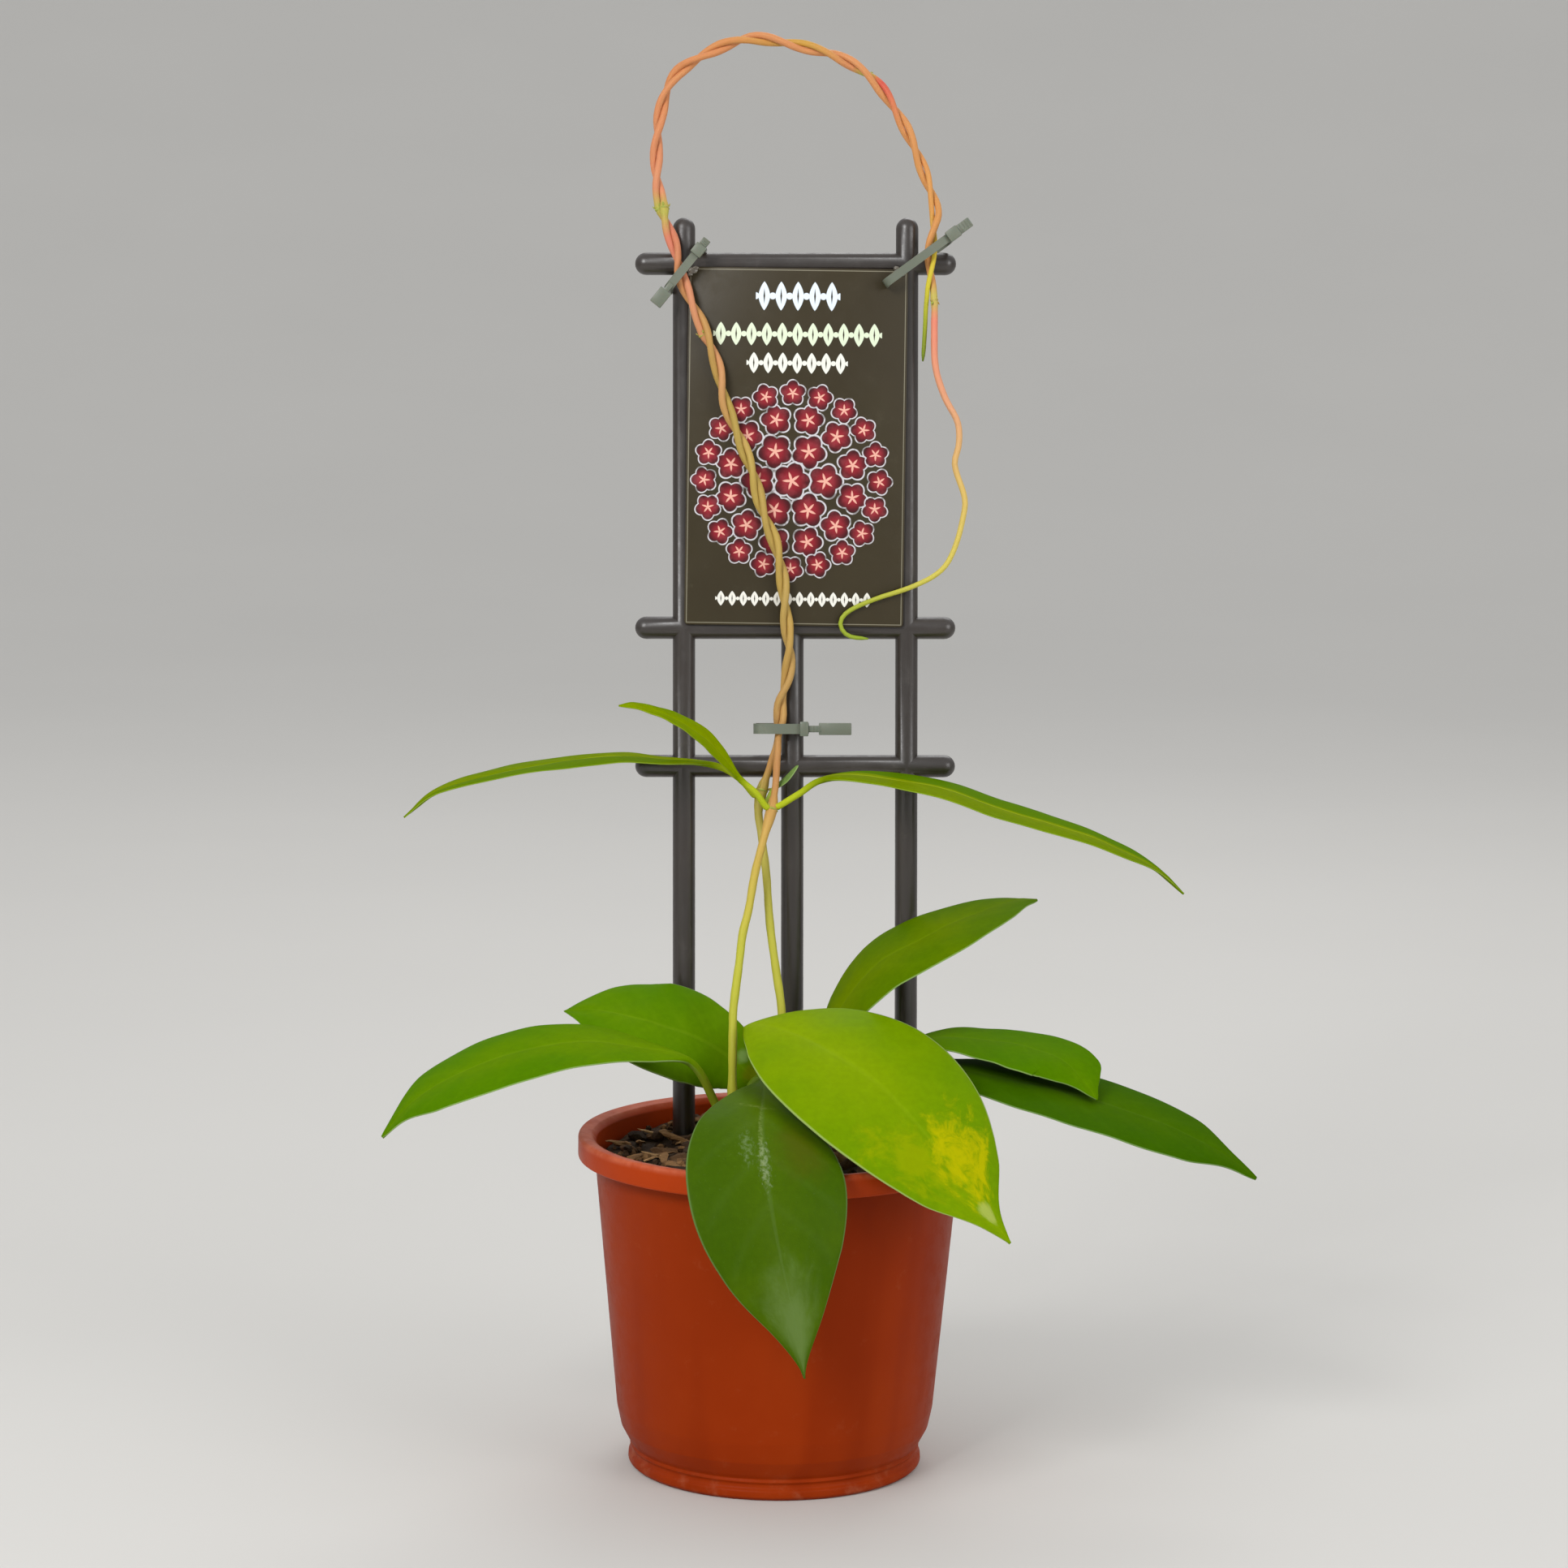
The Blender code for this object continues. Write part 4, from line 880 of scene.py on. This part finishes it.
potShape = {
    "profile": (
        (0.0, 0.0), (30.0, 0.0), (31.5, 2.5), (44.5, 2.5), (46.0, 0.0), (50.5, 0.0), (51.8, 1.2),
        (51.7, 3.4), (50.7, 4.3), (50.5, 5.6), (51.3, 6.6), (50.5, 7.4), (51.6, 8.8),
        (54.4, 14.0), (55.9, 21.0), (64.6, 115.4), (65.4, 116.4), (68.2, 116.4), (68.7, 115.8),
        (68.7, 110.1), (69.5, 109.9), (70.0, 110.5), (70.0, 117.2), (69.3, 118.2), (67.4, 118.2),
        (65.2, 117.6), (63.6, 115.6), (54.7, 21.0), (52.6, 14.0), (49.0, 9.2), (44.0, 5.0),
        (0.0, 5.0)),
    "steps": 160, "round": 0.5, "holes": 8, "holeRing": 0.038, "holeRadius": 0.004,
}


def potMaterial(group):
    # satin terracotta-coloured plastic, polished on the rim, with painted light on the rim (a
    # painted brighter band, and a painted pale highlight on the lip that is partly a worn paler
    # edge), painted darker upright bands down the body, scuffed at the foot
    material, spot = newMaterial("potPlastic", {"Specular IOR Level": 0.05,
                                                "Coat Roughness": 0.20})
    made = usePlastic(group, spot, (144, 46, 5), (155, 55, 10), (188, 116, 84), 0.42, 0.10)
    high = split(spot)[2]
    # rim: the band above the bead, given a painted brighter orange and a light coat
    rim = fade(high, 0.1085, 0.1105)
    # patches break up the painted highlight on the lip and the scuffs at the foot
    patches = cloud(spot, 90.0, 5.0, 0.65)
    tall = vectorMath(spot, "MULTIPLY", 1, (1.0, 1.0, 0.08))
    colour = layers(
        # painted reflection: darker upright bands down the body
        made["Color"], (fade(cloud(tall, 45.0, 2.0, 0.5), 0.42, 0.62, 0.0, 0.5), (127, 37, 3)),
        # painted light: brighter orange over the rim band
        (rim * 0.6, (186, 63, 11)),
        # painted highlight: pale pink on the lip, partly a worn paler edge
        (fade(high, 0.1155, 0.1178) * fade(patches, 0.3, 0.7, 0.10, 0.50), (220, 130, 100)),
        (fade(high, 0.0, 0.012, 1.0, 0.0) * fade(patches, 0.5, 0.7, 0.0, 0.4), (176, 108, 78)))
    return finishSurface(material, colour, made["Roughness"], made["Height"], 0.25, 0.0002,
                         rim * 0.08)


def makePot(group):
    p = potShape
    bm = revolve([(r * mm, z * mm) for r, z in p["profile"]], p["steps"], p["round"] * mm)
    bmesh.ops.recalc_face_normals(bm, faces=bm.faces)
    pot = newObject("pot_shell", bm)
    holes = bmesh.new()
    for i in range(p["holes"]):
        angle = 2 * math.pi * (i + 0.5) / p["holes"]
        centre = Vector((math.cos(angle), math.sin(angle), 0)) * p["holeRing"]
        bmesh.ops.create_cone(holes, cap_ends=True, segments=24, radius1=p["holeRadius"],
                              radius2=p["holeRadius"], depth=0.012,
                              matrix=Matrix.Translation(centre + Vector((0, 0, 0.003))))
    cutter = newObject("cutter", holes)
    combine(pot, "DIFFERENCE", object=cutter)
    bpy.data.objects.remove(cutter, do_unlink=True)
    dressPiece(pot, [potMaterial(group)], ["pot"], sharp=50)


# Potting mix

mixShape = {
    "side": ((0.0, 5.4), (43.7, 5.4), (48.5, 9.5), (52.0, 14.1), (54.1, 21.0), (62.2, 108.6)),
    "level": 110.2, "top": 109.5, "reach": 60.5, "steps": 150, "rings": 34, "seed": 7,
    "lumpReach": 58.5, "lumpLimit": 61.5, "perlite": 14, "perliteReach": 57,
    "stems": ((-16, -6, 2.4), (2, 9, 2.4)), "legRoom": 4.6,
    # count and spans of length, width and thickness
    "lumps": (("chip", 200, ((5, 12), (3, 6.5), (2.2, 4.2))),
              ("crumb", 420, ((1.0, 2.8), (1.0, 2.8), (1.0, 2.8))),
              ("splinter", 130, ((6, 13), (1.4, 2.8), (0.8, 1.5)))),
    "tints": (0.10, 0.16, 0.24, 0.30, 0.38, 0.46, 0.56, 0.70),
    "paleTints": (0.55, 0.72, 0.85, 1.0),
}


def mixHeight(x, y):
    # height of the mix in millimetres at a place in millimetres
    swell = 1.2 * math.sin(0.070 * x + 1.0) * math.cos(0.055 * y)
    rough = 1.1 * noise.noise(Vector((x * 0.16, y * 0.16, 2.0)))
    rough += 0.6 * noise.noise(Vector((x * 0.5, y * 0.5, 5.0)))
    return mixShape["level"] + swell + rough


def makeMixBody():
    m = mixShape
    side = [*m["side"], *((m["reach"] * (1 - i / m["rings"]), m["level"])
                          for i in range(m["rings"])), (0.0, m["level"])]
    bm = revolve([(r * mm, z * mm) for r, z in side], m["steps"])
    layer = bm.verts.layers.float_vector.new("chipTint")
    for v in bm.verts:
        if v.co.z > m["top"] * mm:
            v.co.z = mixHeight(v.co.x / mm, v.co.y / mm) * mm
        v[layer] = (0.12, 0.5, 0.0)
    return bm, layer


def addChip(bm, layer, centre, size, turn, tint, rough, seed, levels=2):
    # one lump: a small ball, squashed and roughened
    made = bmesh.ops.create_icosphere(bm, subdivisions=levels, radius=0.5)["verts"]
    place = Matrix.Translation(centre) @ turn.to_matrix().to_4x4()
    for v in made:
        p = v.co.normalized()
        box = max(abs(p.x), abs(p.y), abs(p.z))
        p = p * (0.42 + 0.30 / box * 0.42)
        p *= 1 + rough * noise.noise(p * 2.3 + Vector((seed, 0, 0)))
        p *= 1 + 0.5 * rough * noise.noise(p * 6.0 + Vector((0, seed, 0)))
        v[layer] = (tint, seed % 1.0, 1.0)
        v.co = place @ (Vector((p.x * size[0], p.y * size[1], p.z * size[2])) * mm)


def mixMaterial():
    material, spot = newMaterial("barkMix", {"Specular IOR Level": 0.08})
    tint = split(attribute(spot, "chipTint"))[0]
    fine, coarse = cloud(spot, 520.0, 6.0, 0.7), cloud(spot, 150.0, 4.0, 0.6, 0.6)
    bark = ramp(tint + (coarse - 0.5) * 0.30, (
        (0, (40, 31, 24)), (0.25, (76, 57, 42)), (0.5, (112, 82, 56)), (0.75, (150, 112, 74)),
        (1, (186, 148, 104))))
    colour = layers(bark, (fade(fine, 0.5, 0.72, 0.0, 0.4), (28, 20, 16)))
    return finishSurface(material, colour, fade(fine, 0.3, 0.7, 0.7, 0.95), fine + coarse * 0.8,
                         0.8, 0.0009)


def perliteMaterial():
    material, spot = newMaterial("perliteGrain", {"Specular IOR Level": 0.4})
    pits = cloud(spot, 1400.0, 4.0, 0.6)
    colour = blend(fade(pits, 0.35, 0.7), rgb(232, 228, 218), rgb(186, 176, 160))
    return finishSurface(material, colour, fade(pits, 0.3, 0.7, 0.75, 0.95), pits, 0.8, 0.0004)


def makeMix():
    m, t = mixShape, trellisShape
    bm, layer = makeMixBody()
    draw = random.Random(m["seed"])
    legs = [onTrellis(x, 0, 0) for x in (-t["postX"], t["legX"], t["postX"])]
    keepOff = [*m["stems"], *((p.x, p.y, m["legRoom"]) for p in legs)]
    for kind, count, spans in m["lumps"]:
        for _ in range(count):
            angle = draw.uniform(0, 2 * math.pi)
            radius = m["lumpReach"] * math.sqrt(draw.random())
            size = [draw.uniform(*span) for span in spans]
            turn = Euler((draw.uniform(-0.4, 0.4), draw.uniform(-0.35, 0.35),
                          draw.uniform(0, math.pi)))
            tint, lift = draw.choice(m["tints"]), draw.uniform(0.15, 0.38)
            if kind == "splinter":
                tint, lift = draw.choice(m["paleTints"]), draw.uniform(0.9, 2.2)
            x, y = radius * math.cos(angle), radius * math.sin(angle)
            if radius + size[0] / 2 > m["lumpLimit"]:
                continue
            if any(math.hypot(x - a, y - b) < c + size[0] * 0.4 for a, b, c in keepOff):
                continue
            centre = Vector((x, y, mixHeight(x, y) + size[2] * lift)) * mm
            addChip(bm, layer, centre, size, turn, tint, 0.45, draw.uniform(0, 90),
                    1 if kind == "crumb" else 2)
    finishPiece("potting_mix_top", bm, [mixMaterial()], ["potting_mix"], sharp=24)
    grains = bmesh.new()
    layer = grains.verts.layers.float_vector.new("chipTint")
    for _ in range(m["perlite"]):
        angle = draw.uniform(0, 2 * math.pi)
        radius = m["perliteReach"] * math.sqrt(draw.random())
        size = [draw.uniform(1.2, 3.2) for _ in range(3)]
        x, y = radius * math.cos(angle), radius * math.sin(angle)
        if any(math.hypot(x - a, y - b) < c + 2 for a, b, c in keepOff):
            continue
        centre = Vector((x, y, mixHeight(x, y) + 1.2)) * mm
        addChip(grains, layer, centre, size, Euler((angle, radius, 0)), 0.5, 0.6,
                draw.uniform(0, 90))
    finishPiece("perlite", grains, [perliteMaterial()], [], sharp=60)


# Trellis


def makeBar(start, end, lowRound):
    # a round bar with a dome at its end, and at its start if asked
    radius = trellisShape["radius"] * mm
    start, end = Vector(start) * mm, Vector(end) * mm
    length = (end - start).length
    dome = [math.radians(a) for a in range(0, 91, 15)]
    line = [(0.0, 0.0), (radius, 0.0)]
    if lowRound:
        line = [(radius * math.cos(a), radius * (1 - math.sin(a))) for a in reversed(dome)]
    line += [(radius * math.cos(a), length - radius * (1 - math.sin(a))) for a in dome]
    bm = revolve([(max(r, 0.0), z) for r, z in line], trellisShape["sides"], join=1e-6)
    turn = Vector((0, 0, 1)).rotation_difference(end - start).to_matrix().to_4x4()
    bmesh.ops.transform(bm, verts=bm.verts, matrix=Matrix.Translation(start) @ turn)
    bmesh.ops.recalc_face_normals(bm, faces=bm.faces)
    return newObject("bar", bm)


def makeTrellis(group):
    t = trellisShape
    uprights = ((-t["postX"], t["postTop"]), (t["postX"], t["postTop"]),
                (t["legX"], t["barHeights"][1]))
    bars = [((x, 0, -t["legDepth"]), (x, 0, top), False) for x, top in uprights]
    bars += [((-t["barHalf"], 0, h), (t["barHalf"], 0, h), True) for h in t["barHeights"]]
    trellis, *others = [makeBar(*bar) for bar in bars]
    trellis.name = "trellis_frame"
    holder = bpy.data.collections.new("bars")
    bpy.context.scene.collection.children.link(holder)
    for piece in others:
        holder.objects.link(piece)
    combine(trellis, "UNION", operand_type="COLLECTION", collection=holder)
    for piece in others:
        bpy.data.objects.remove(piece, do_unlink=True)
    bpy.data.collections.remove(holder)
    trellis.data.transform(trellisPlace)
    material = plasticMaterial("trellisPlastic", group, {"Specular IOR Level": 0.85},
                               (34, 26, 21), (47, 37, 30), (104, 94, 86), 0.37, 0.16)
    dressPiece(trellis, [material], ["trellis"], sharp=32)


# Label card

cardShape = {"size": (78.0, 1.2, 127.0), "centre": (0.2, -4.9, 248.6), "turn": 0.75,
             "corner": 1.5, "edge": 0.18}


def rosetteGroup():
    # one ring of round flowers about a centre: petals, hearts and scalloped outlines
    given = newGroup("rosetteRing", (), (), {"X": 0.0, "Y": 0.0, "Ring Radius": 10.0,
                                             "Count": 6.0, "Turn": 0.0, "Size": 5.0})
    far = radial(given["X"], given["Y"])
    angle = calc("ARCTAN2", given["Y"], given["X"]) + given["Turn"]
    sector = calc("DIVIDE", 2 * math.pi, given["Count"])
    local = (calc("FRACT", angle / sector + 20.5) - 0.5) * sector
    px = far * calc("COSINE", local) - given["Ring Radius"]
    py = far * calc("SINE", local)
    away = radial(px, py) / given["Size"]
    lobes = abs(calc("COSINE", calc("ARCTAN2", py, px) * 2.5))
    inside = away - (lobes * 0.22 + 0.62)
    star = away - ((1.0 - lobes) * 0.34 + 0.10)
    return finishGroup(
        Petal=fade(inside, -0.02, 0.02, 1.0, 0.0), Heart=fade(star, -0.02, 0.02, 1.0, 0.0),
        Outline=fade(abs(inside - 0.07), 0.03, 0.06, 1.0, 0.0), Shade=fade(away, 0.2, 0.85))


def ornamentGroup():
    # a row of pointed leaves with a dot between each two
    given = newGroup("ornamentRow", (), (), {"X": 0.0, "Y": 0.0, "Width": 40.0, "Height": 8.0,
                                             "Count": 8.0})
    x, width, height = given["X"], given["Width"], given["Height"]
    cell = width / given["Count"]
    lx = abs(calc("FRACT", (x + width * 0.5) / cell) - 0.5)
    ly = abs(given["Y"]) / height
    leaf = calc("POWER", lx / 0.36, 1.2) + calc("POWER", ly / 0.5, 1.6)
    leaves = fade(leaf, 0.9, 1.0, 1.0, 0.0) * fade(lx / 0.06 + ly / 0.30, 0.8, 1.0)
    dots = fade(radial((0.5 - lx) * cell, ly * height) / height, 0.10, 0.13, 1.0, 0.0)
    ends = fade(abs(x) - width * 0.5, -0.1, 0.1, 1.0, 0.0)
    return finishGroup(Mask=calc("MAXIMUM", leaves, dots) * ends)


cardArt = {
    "medallion": (-1.4, -12.0), "border": 0.8, "line": 0.2,
    # radius, count, turn and size of the flowers
    "rings": ((0.0, 1, 0.0, 7.6), (12.0, 6, 0.0, 7.0), (22.4, 12, 0.26, 6.2),
              (31.2, 20, 0.0, 5.2)),
    # centre, width, height, count and tint
    "rows": ((0.0, 53.5, 30.0, 10.5, 5, (226, 238, 250)),
             (0.0, 40.0, 60.0, 8.4, 11, (222, 234, 206)),
             (0.0, 29.8, 36.0, 7.6, 7, (234, 236, 226)),
             (0.0, -54.0, 56.0, 5.4, 14, (238, 236, 228))),
}


def cardFront(group):
    # printed face: flower medallion between rows of ornament, thin pale border
    art, (wide, _, tall) = cardArt, cardShape["size"]
    material, spot = newMaterial("cardPrint", {"Specular IOR Level": 0.3})
    u, v, _ = split(Wire(addNode(spot.tree, "ShaderNodeUVMap", uv_map="cardMap").outputs["UV"]))
    x, y = (u - 0.5) * wide, (v - 0.5) * tall
    base = usePlastic(group, spot, (54, 46, 28), (62, 54, 34), (104, 98, 78), 0.40, 0.08)
    colour = base["Color"]
    rosettes, ornaments = rosetteGroup(), ornamentGroup()
    mx, my = x - art["medallion"][0], y - art["medallion"][1]
    mottle = cloud(spot, 260.0, 3.0, 0.6)
    for radius, count, turn, size in art["rings"]:
        made = useGroup(rosettes, {"X": mx, "Y": my, "Ring Radius": radius,
                                   "Count": float(count), "Turn": turn, "Size": size})
        petal = blend(made["Shade"], rgb(150, 30, 44), rgb(62, 12, 20))
        petal = layers(petal, (fade(mottle, 0.45, 0.7, 0.0, 0.3), (168, 70, 78)))
        scallop = made["Outline"] * fade(mottle, 0.36, 0.50, 0.35, 1.0)
        colour = blend(made["Petal"], layers(colour, (scallop, (206, 202, 208))), petal)
        heart = blend(made["Shade"], rgb(236, 176, 158), rgb(198, 52, 62))
        colour = blend(made["Heart"], colour, heart)
    for cx, cy, width, height, count, tint in art["rows"]:
        made = useGroup(ornaments, {"X": x - cx, "Y": y - cy, "Width": width, "Height": height,
                                    "Count": float(count)})
        colour = layers(colour, (made["Mask"], tint))
    edge = abs(calc("MINIMUM", wide / 2 - art["border"] - abs(x),
                    tall / 2 - art["border"] - abs(y)))
    colour = layers(colour, (fade(edge, art["line"] / 2, art["line"], 0.4, 0.0), (190, 184, 160)))
    return finishSurface(material, colour, base["Roughness"], base["Height"], 0.15, 0.0002)


def makeGlue():
    # dabs of clear glue that hold the card to the bars at its top corners
    material, spot = newMaterial("glueDab", {"Specular IOR Level": 0.6, "Coat Weight": 0.3,
                                             "Coat Roughness": 0.1})
    cloudy = cloud(spot, 500.0, 3.0, 0.6)
    finishSurface(material, blend(cloudy, rgb(128, 122, 110), rgb(84, 78, 68)),
                  fade(cloudy, 0.3, 0.7, 0.2, 0.35), cloudy, 0.3, 0.0003)
    (cx, cy, cz), (wide, _, tall) = cardShape["centre"], cardShape["size"]
    bm = bmesh.new()
    for side in (-1, 1):
        for i, (dx, dz, size) in enumerate(((0, 0, 2.4), (-1.9, 0.9, 1.5), (1.4, -1.3, 1.3))):
            dab = Vector((cx + side * (wide / 2 - 2.2 + dx * 0.6), cy - 0.8,
                          cz + tall / 2 - 1.0 + dz))
            made = bmesh.ops.create_uvsphere(bm, u_segments=20, v_segments=12, radius=0.5)
            for v in made["verts"]:
                v.co *= 1 + 0.25 * noise.noise(v.co * 3 + Vector((side * 5 + i, 0, 0)))
                v.co = dab + Vector((v.co.x * size * 1.5, v.co.y * 1.3, v.co.z * size))
                v.co = trellisPlace @ (v.co * mm)
    finishPiece("card_glue", bm, [material], [], sharp=60)


def makeCard(group):
    c = cardShape
    bm = bmesh.new()
    addBox(bm, c["size"])
    roundEdges(bm, [e for e in bm.edges if abs(e.verts[0].co.y - e.verts[1].co.y) > 0.1],
               c["corner"], 5)
    roundEdges(bm, [e for e in bm.edges if len(e.link_faces) == 2 and e.calc_face_angle() > 1.0],
               c["edge"], 2)
    layer = bm.loops.layers.uv.new("cardMap")
    for face in bm.faces:
        # the print is on the front alone
        face.material_index = 0 if face.calc_center_median().y < -0.4 * c["size"][1] else 1
        for loop in face.loops:
            loop[layer].uv = (loop.vert.co.x / c["size"][0] + 0.5,
                              loop.vert.co.z / c["size"][2] + 0.5)
    place = (trellisPlace @ Matrix.Translation(Vector(c["centre"]) * mm)
             @ Matrix.Rotation(math.radians(c["turn"]), 4, "Y") @ Matrix.Scale(mm, 4))
    bmesh.ops.transform(bm, verts=bm.verts, matrix=place)
    plain = plasticMaterial("cardStock", group, {"Specular IOR Level": 0.5},
                            (66, 56, 38), (74, 64, 44), (130, 122, 100), 0.42, 0.10)
    finishPiece("card_plate", bm, [cardFront(group), plain], ["label_card"], sharp=40)
    makeGlue()


# Ties

tieShape = {"thick": 0.9, "corner": 2.6, "bevel": 0.3, "ribs": 5}
tieSpecs = {
    "tie_left": dict(at=(-39.75, 314.0), turn=51, drop=-1.8, span=(-10.4, 8.1),
                     depth=(-11.2, 4.4), width=3.0,
                     blocks=(((6.4, -11.9, 0), (4.2, 3.2, 4.2)),
                             ((9.6, -11.9, 0), (3.4, 1.5, 3.0)),
                             ((-11.0, -11.65, 0), (4.4, 1.0, 2.0)),
                             ((-15.0, -11.65, 0), (6.4, 1.1, 4.6)))),
    "tie_right": dict(at=(39.75, 314.0), turn=36, drop=-1.6, span=(-10.3, 17.0),
                      depth=(-11.2, 4.4), width=3.0,
                      blocks=(((18.6, -11.9, 0), (4.6, 3.2, 4.2)),
                              ((23.2, -11.9, 0), (5.8, 1.5, 3.6)))),
    "tie_middle": dict(at=(0.0, 148.5), turn=0, drop=0.0, span=(-14.0, 4.0),
                       depth=(-9.9, 4.4), width=3.6,
                       blocks=(((3.2, -10.6, 0), (3.0, 3.2, 5.2)),
                               ((6.6, -10.6, 0), (5.6, 1.2, 2.4)),
                               ((14.2, -10.5, 0), (11.6, 1.1, 4.3)))),
}


def addBlock(bm, centre, size, bevel, segments=2):
    made = addBox(bm, size, centre)
    roundEdges(bm, list({e for v in made for e in v.link_edges}), bevel, segments)


def makeTie(name, spec, material):
    t = tieShape
    (x0, x1), (y0, y1) = spec["span"], spec["depth"]
    bm = bmesh.new()
    addBox(bm, (x1 - x0 + 2 * t["thick"], y1 - y0 + 2 * t["thick"], spec["width"]),
           ((x0 + x1) / 2, (y0 + y1) / 2, 0))
    ends = [f for f in bm.faces if abs(f.normal.z) > 0.9]
    bmesh.ops.delete(bm, geom=ends, context="FACES_ONLY")
    roundEdges(bm, [e for e in bm.edges if abs(e.verts[0].co.z - e.verts[1].co.z) > 0.1],
               t["corner"] + t["thick"], 6)
    loose = [e for e in bm.edges if not e.link_faces]
    bmesh.ops.delete(bm, geom=loose, context="EDGES")
    bmesh.ops.recalc_face_normals(bm, faces=bm.faces)
    bmesh.ops.solidify(bm, geom=bm.faces[:], thickness=t["thick"])
    for centre, size in spec["blocks"]:
        addBlock(bm, centre, size, t["bevel"])
    # small ridges across the first block after the head
    centre, size = spec["blocks"][1]
    for i in range(t["ribs"]):
        x = centre[0] + size[0] * ((i + 0.5) / t["ribs"] - 0.5)
        addBlock(bm, (x, centre[1] - size[1] / 2, 0), (0.35, 0.3, size[2] * 0.8), 0.08, 1)
    across, height = spec["at"]
    place = (trellisPlace @ Matrix.Translation((across * mm, 0, height * mm))
             @ Matrix.Rotation(math.radians(-spec["turn"]), 4, "Y")
             @ Matrix.Translation((0, 0, spec["drop"] * mm)) @ Matrix.Scale(mm, 4))
    bmesh.ops.transform(bm, verts=bm.verts, matrix=place)
    finishPiece(name + "_strap", bm, [material], [name], sharp=35)


def makeTies(group):
    material = plasticMaterial("tiePlastic", group, {
        "Specular IOR Level": 0.5, "Subsurface Weight": 0.1, "Subsurface Scale": 0.001},
        (102, 108, 94), (119, 124, 109), (164, 166, 152), 0.42, 0.25)
    for name, spec in tieSpecs.items():
        makeTie(name, spec, material)


# Floor and light

studio = {
    "floor": rgb(206, 204, 200), "flat": 2.4, "rise": 0.1, "sky": (0.94, 0.95, 0.96),
    "skyStrength": 0.64,
    "lamps": (("keyLamp", (-0.9, -1.4, 1.3), 0.7, 21.0), ("fillLamp", (1.3, -1.2, 0.8), 0.8, 9.0),
              ("backLamp", (0.3, 1.2, 1.4), 0.9, 6.0), ("roomLamp", (0.0, 0.5, 5.0), 12.0, 70.0)),
}


def makeStudio():
    scene = bpy.context.scene
    bm = bmesh.new()
    bmesh.ops.create_grid(bm, x_segments=80, y_segments=80, size=6.0)
    for v in bm.verts:
        # flat under the object, then rising all round to a seamless backdrop
        v.co.z = studio["rise"] * max(v.co.length - studio["flat"], 0.0) ** 2
    floor = newObject("floor", bm)
    floor.data.shade_smooth()
    scene.view_settings.view_transform = "Standard"
    material, spot = newMaterial("floorPaper", {"Roughness": 0.8})
    tint = blend(cloud(spot, 3.0), studio["floor"], tuple(c * 0.95 for c in studio["floor"]))
    spot.tree.links.new(tint.socket, spot.tree.nodes["Principled BSDF"].inputs["Base Color"])
    floor.data.materials.append(material)
    world = bpy.data.worlds.new("softRoom")
    world.use_nodes = True
    sky = world.node_tree.nodes["Background"].inputs
    sky[0].default_value = (*studio["sky"], 1)
    sky[1].default_value = studio["skyStrength"]
    scene.world = world
    for name, place, size, power in studio["lamps"]:
        lamp = bpy.data.lights.new(name, "AREA")
        lamp.size, lamp.energy = size, power
        piece = bpy.data.objects.new(name, lamp)
        scene.collection.objects.link(piece)
        aim = Vector((0, 0, 0.25)) - Vector(place)
        piece.matrix_world = (Matrix.Translation(place)
                              @ aim.to_track_quat("-Z", "Y").to_matrix().to_4x4())


makeCamera()
print("camera placed")
plastic = plasticGroup()
makePot(plastic)
print("pot turned")
makeMix()
print("potting mix laid")
makeTrellis(plastic)
makeCard(plastic)
makeTies(plastic)
print("trellis, card and ties made")
stems = stemPaths()
makeStems(stems)
makeLeaves(stems)
print("stems and leaves grown")
makeStudio()
print("studio lit")
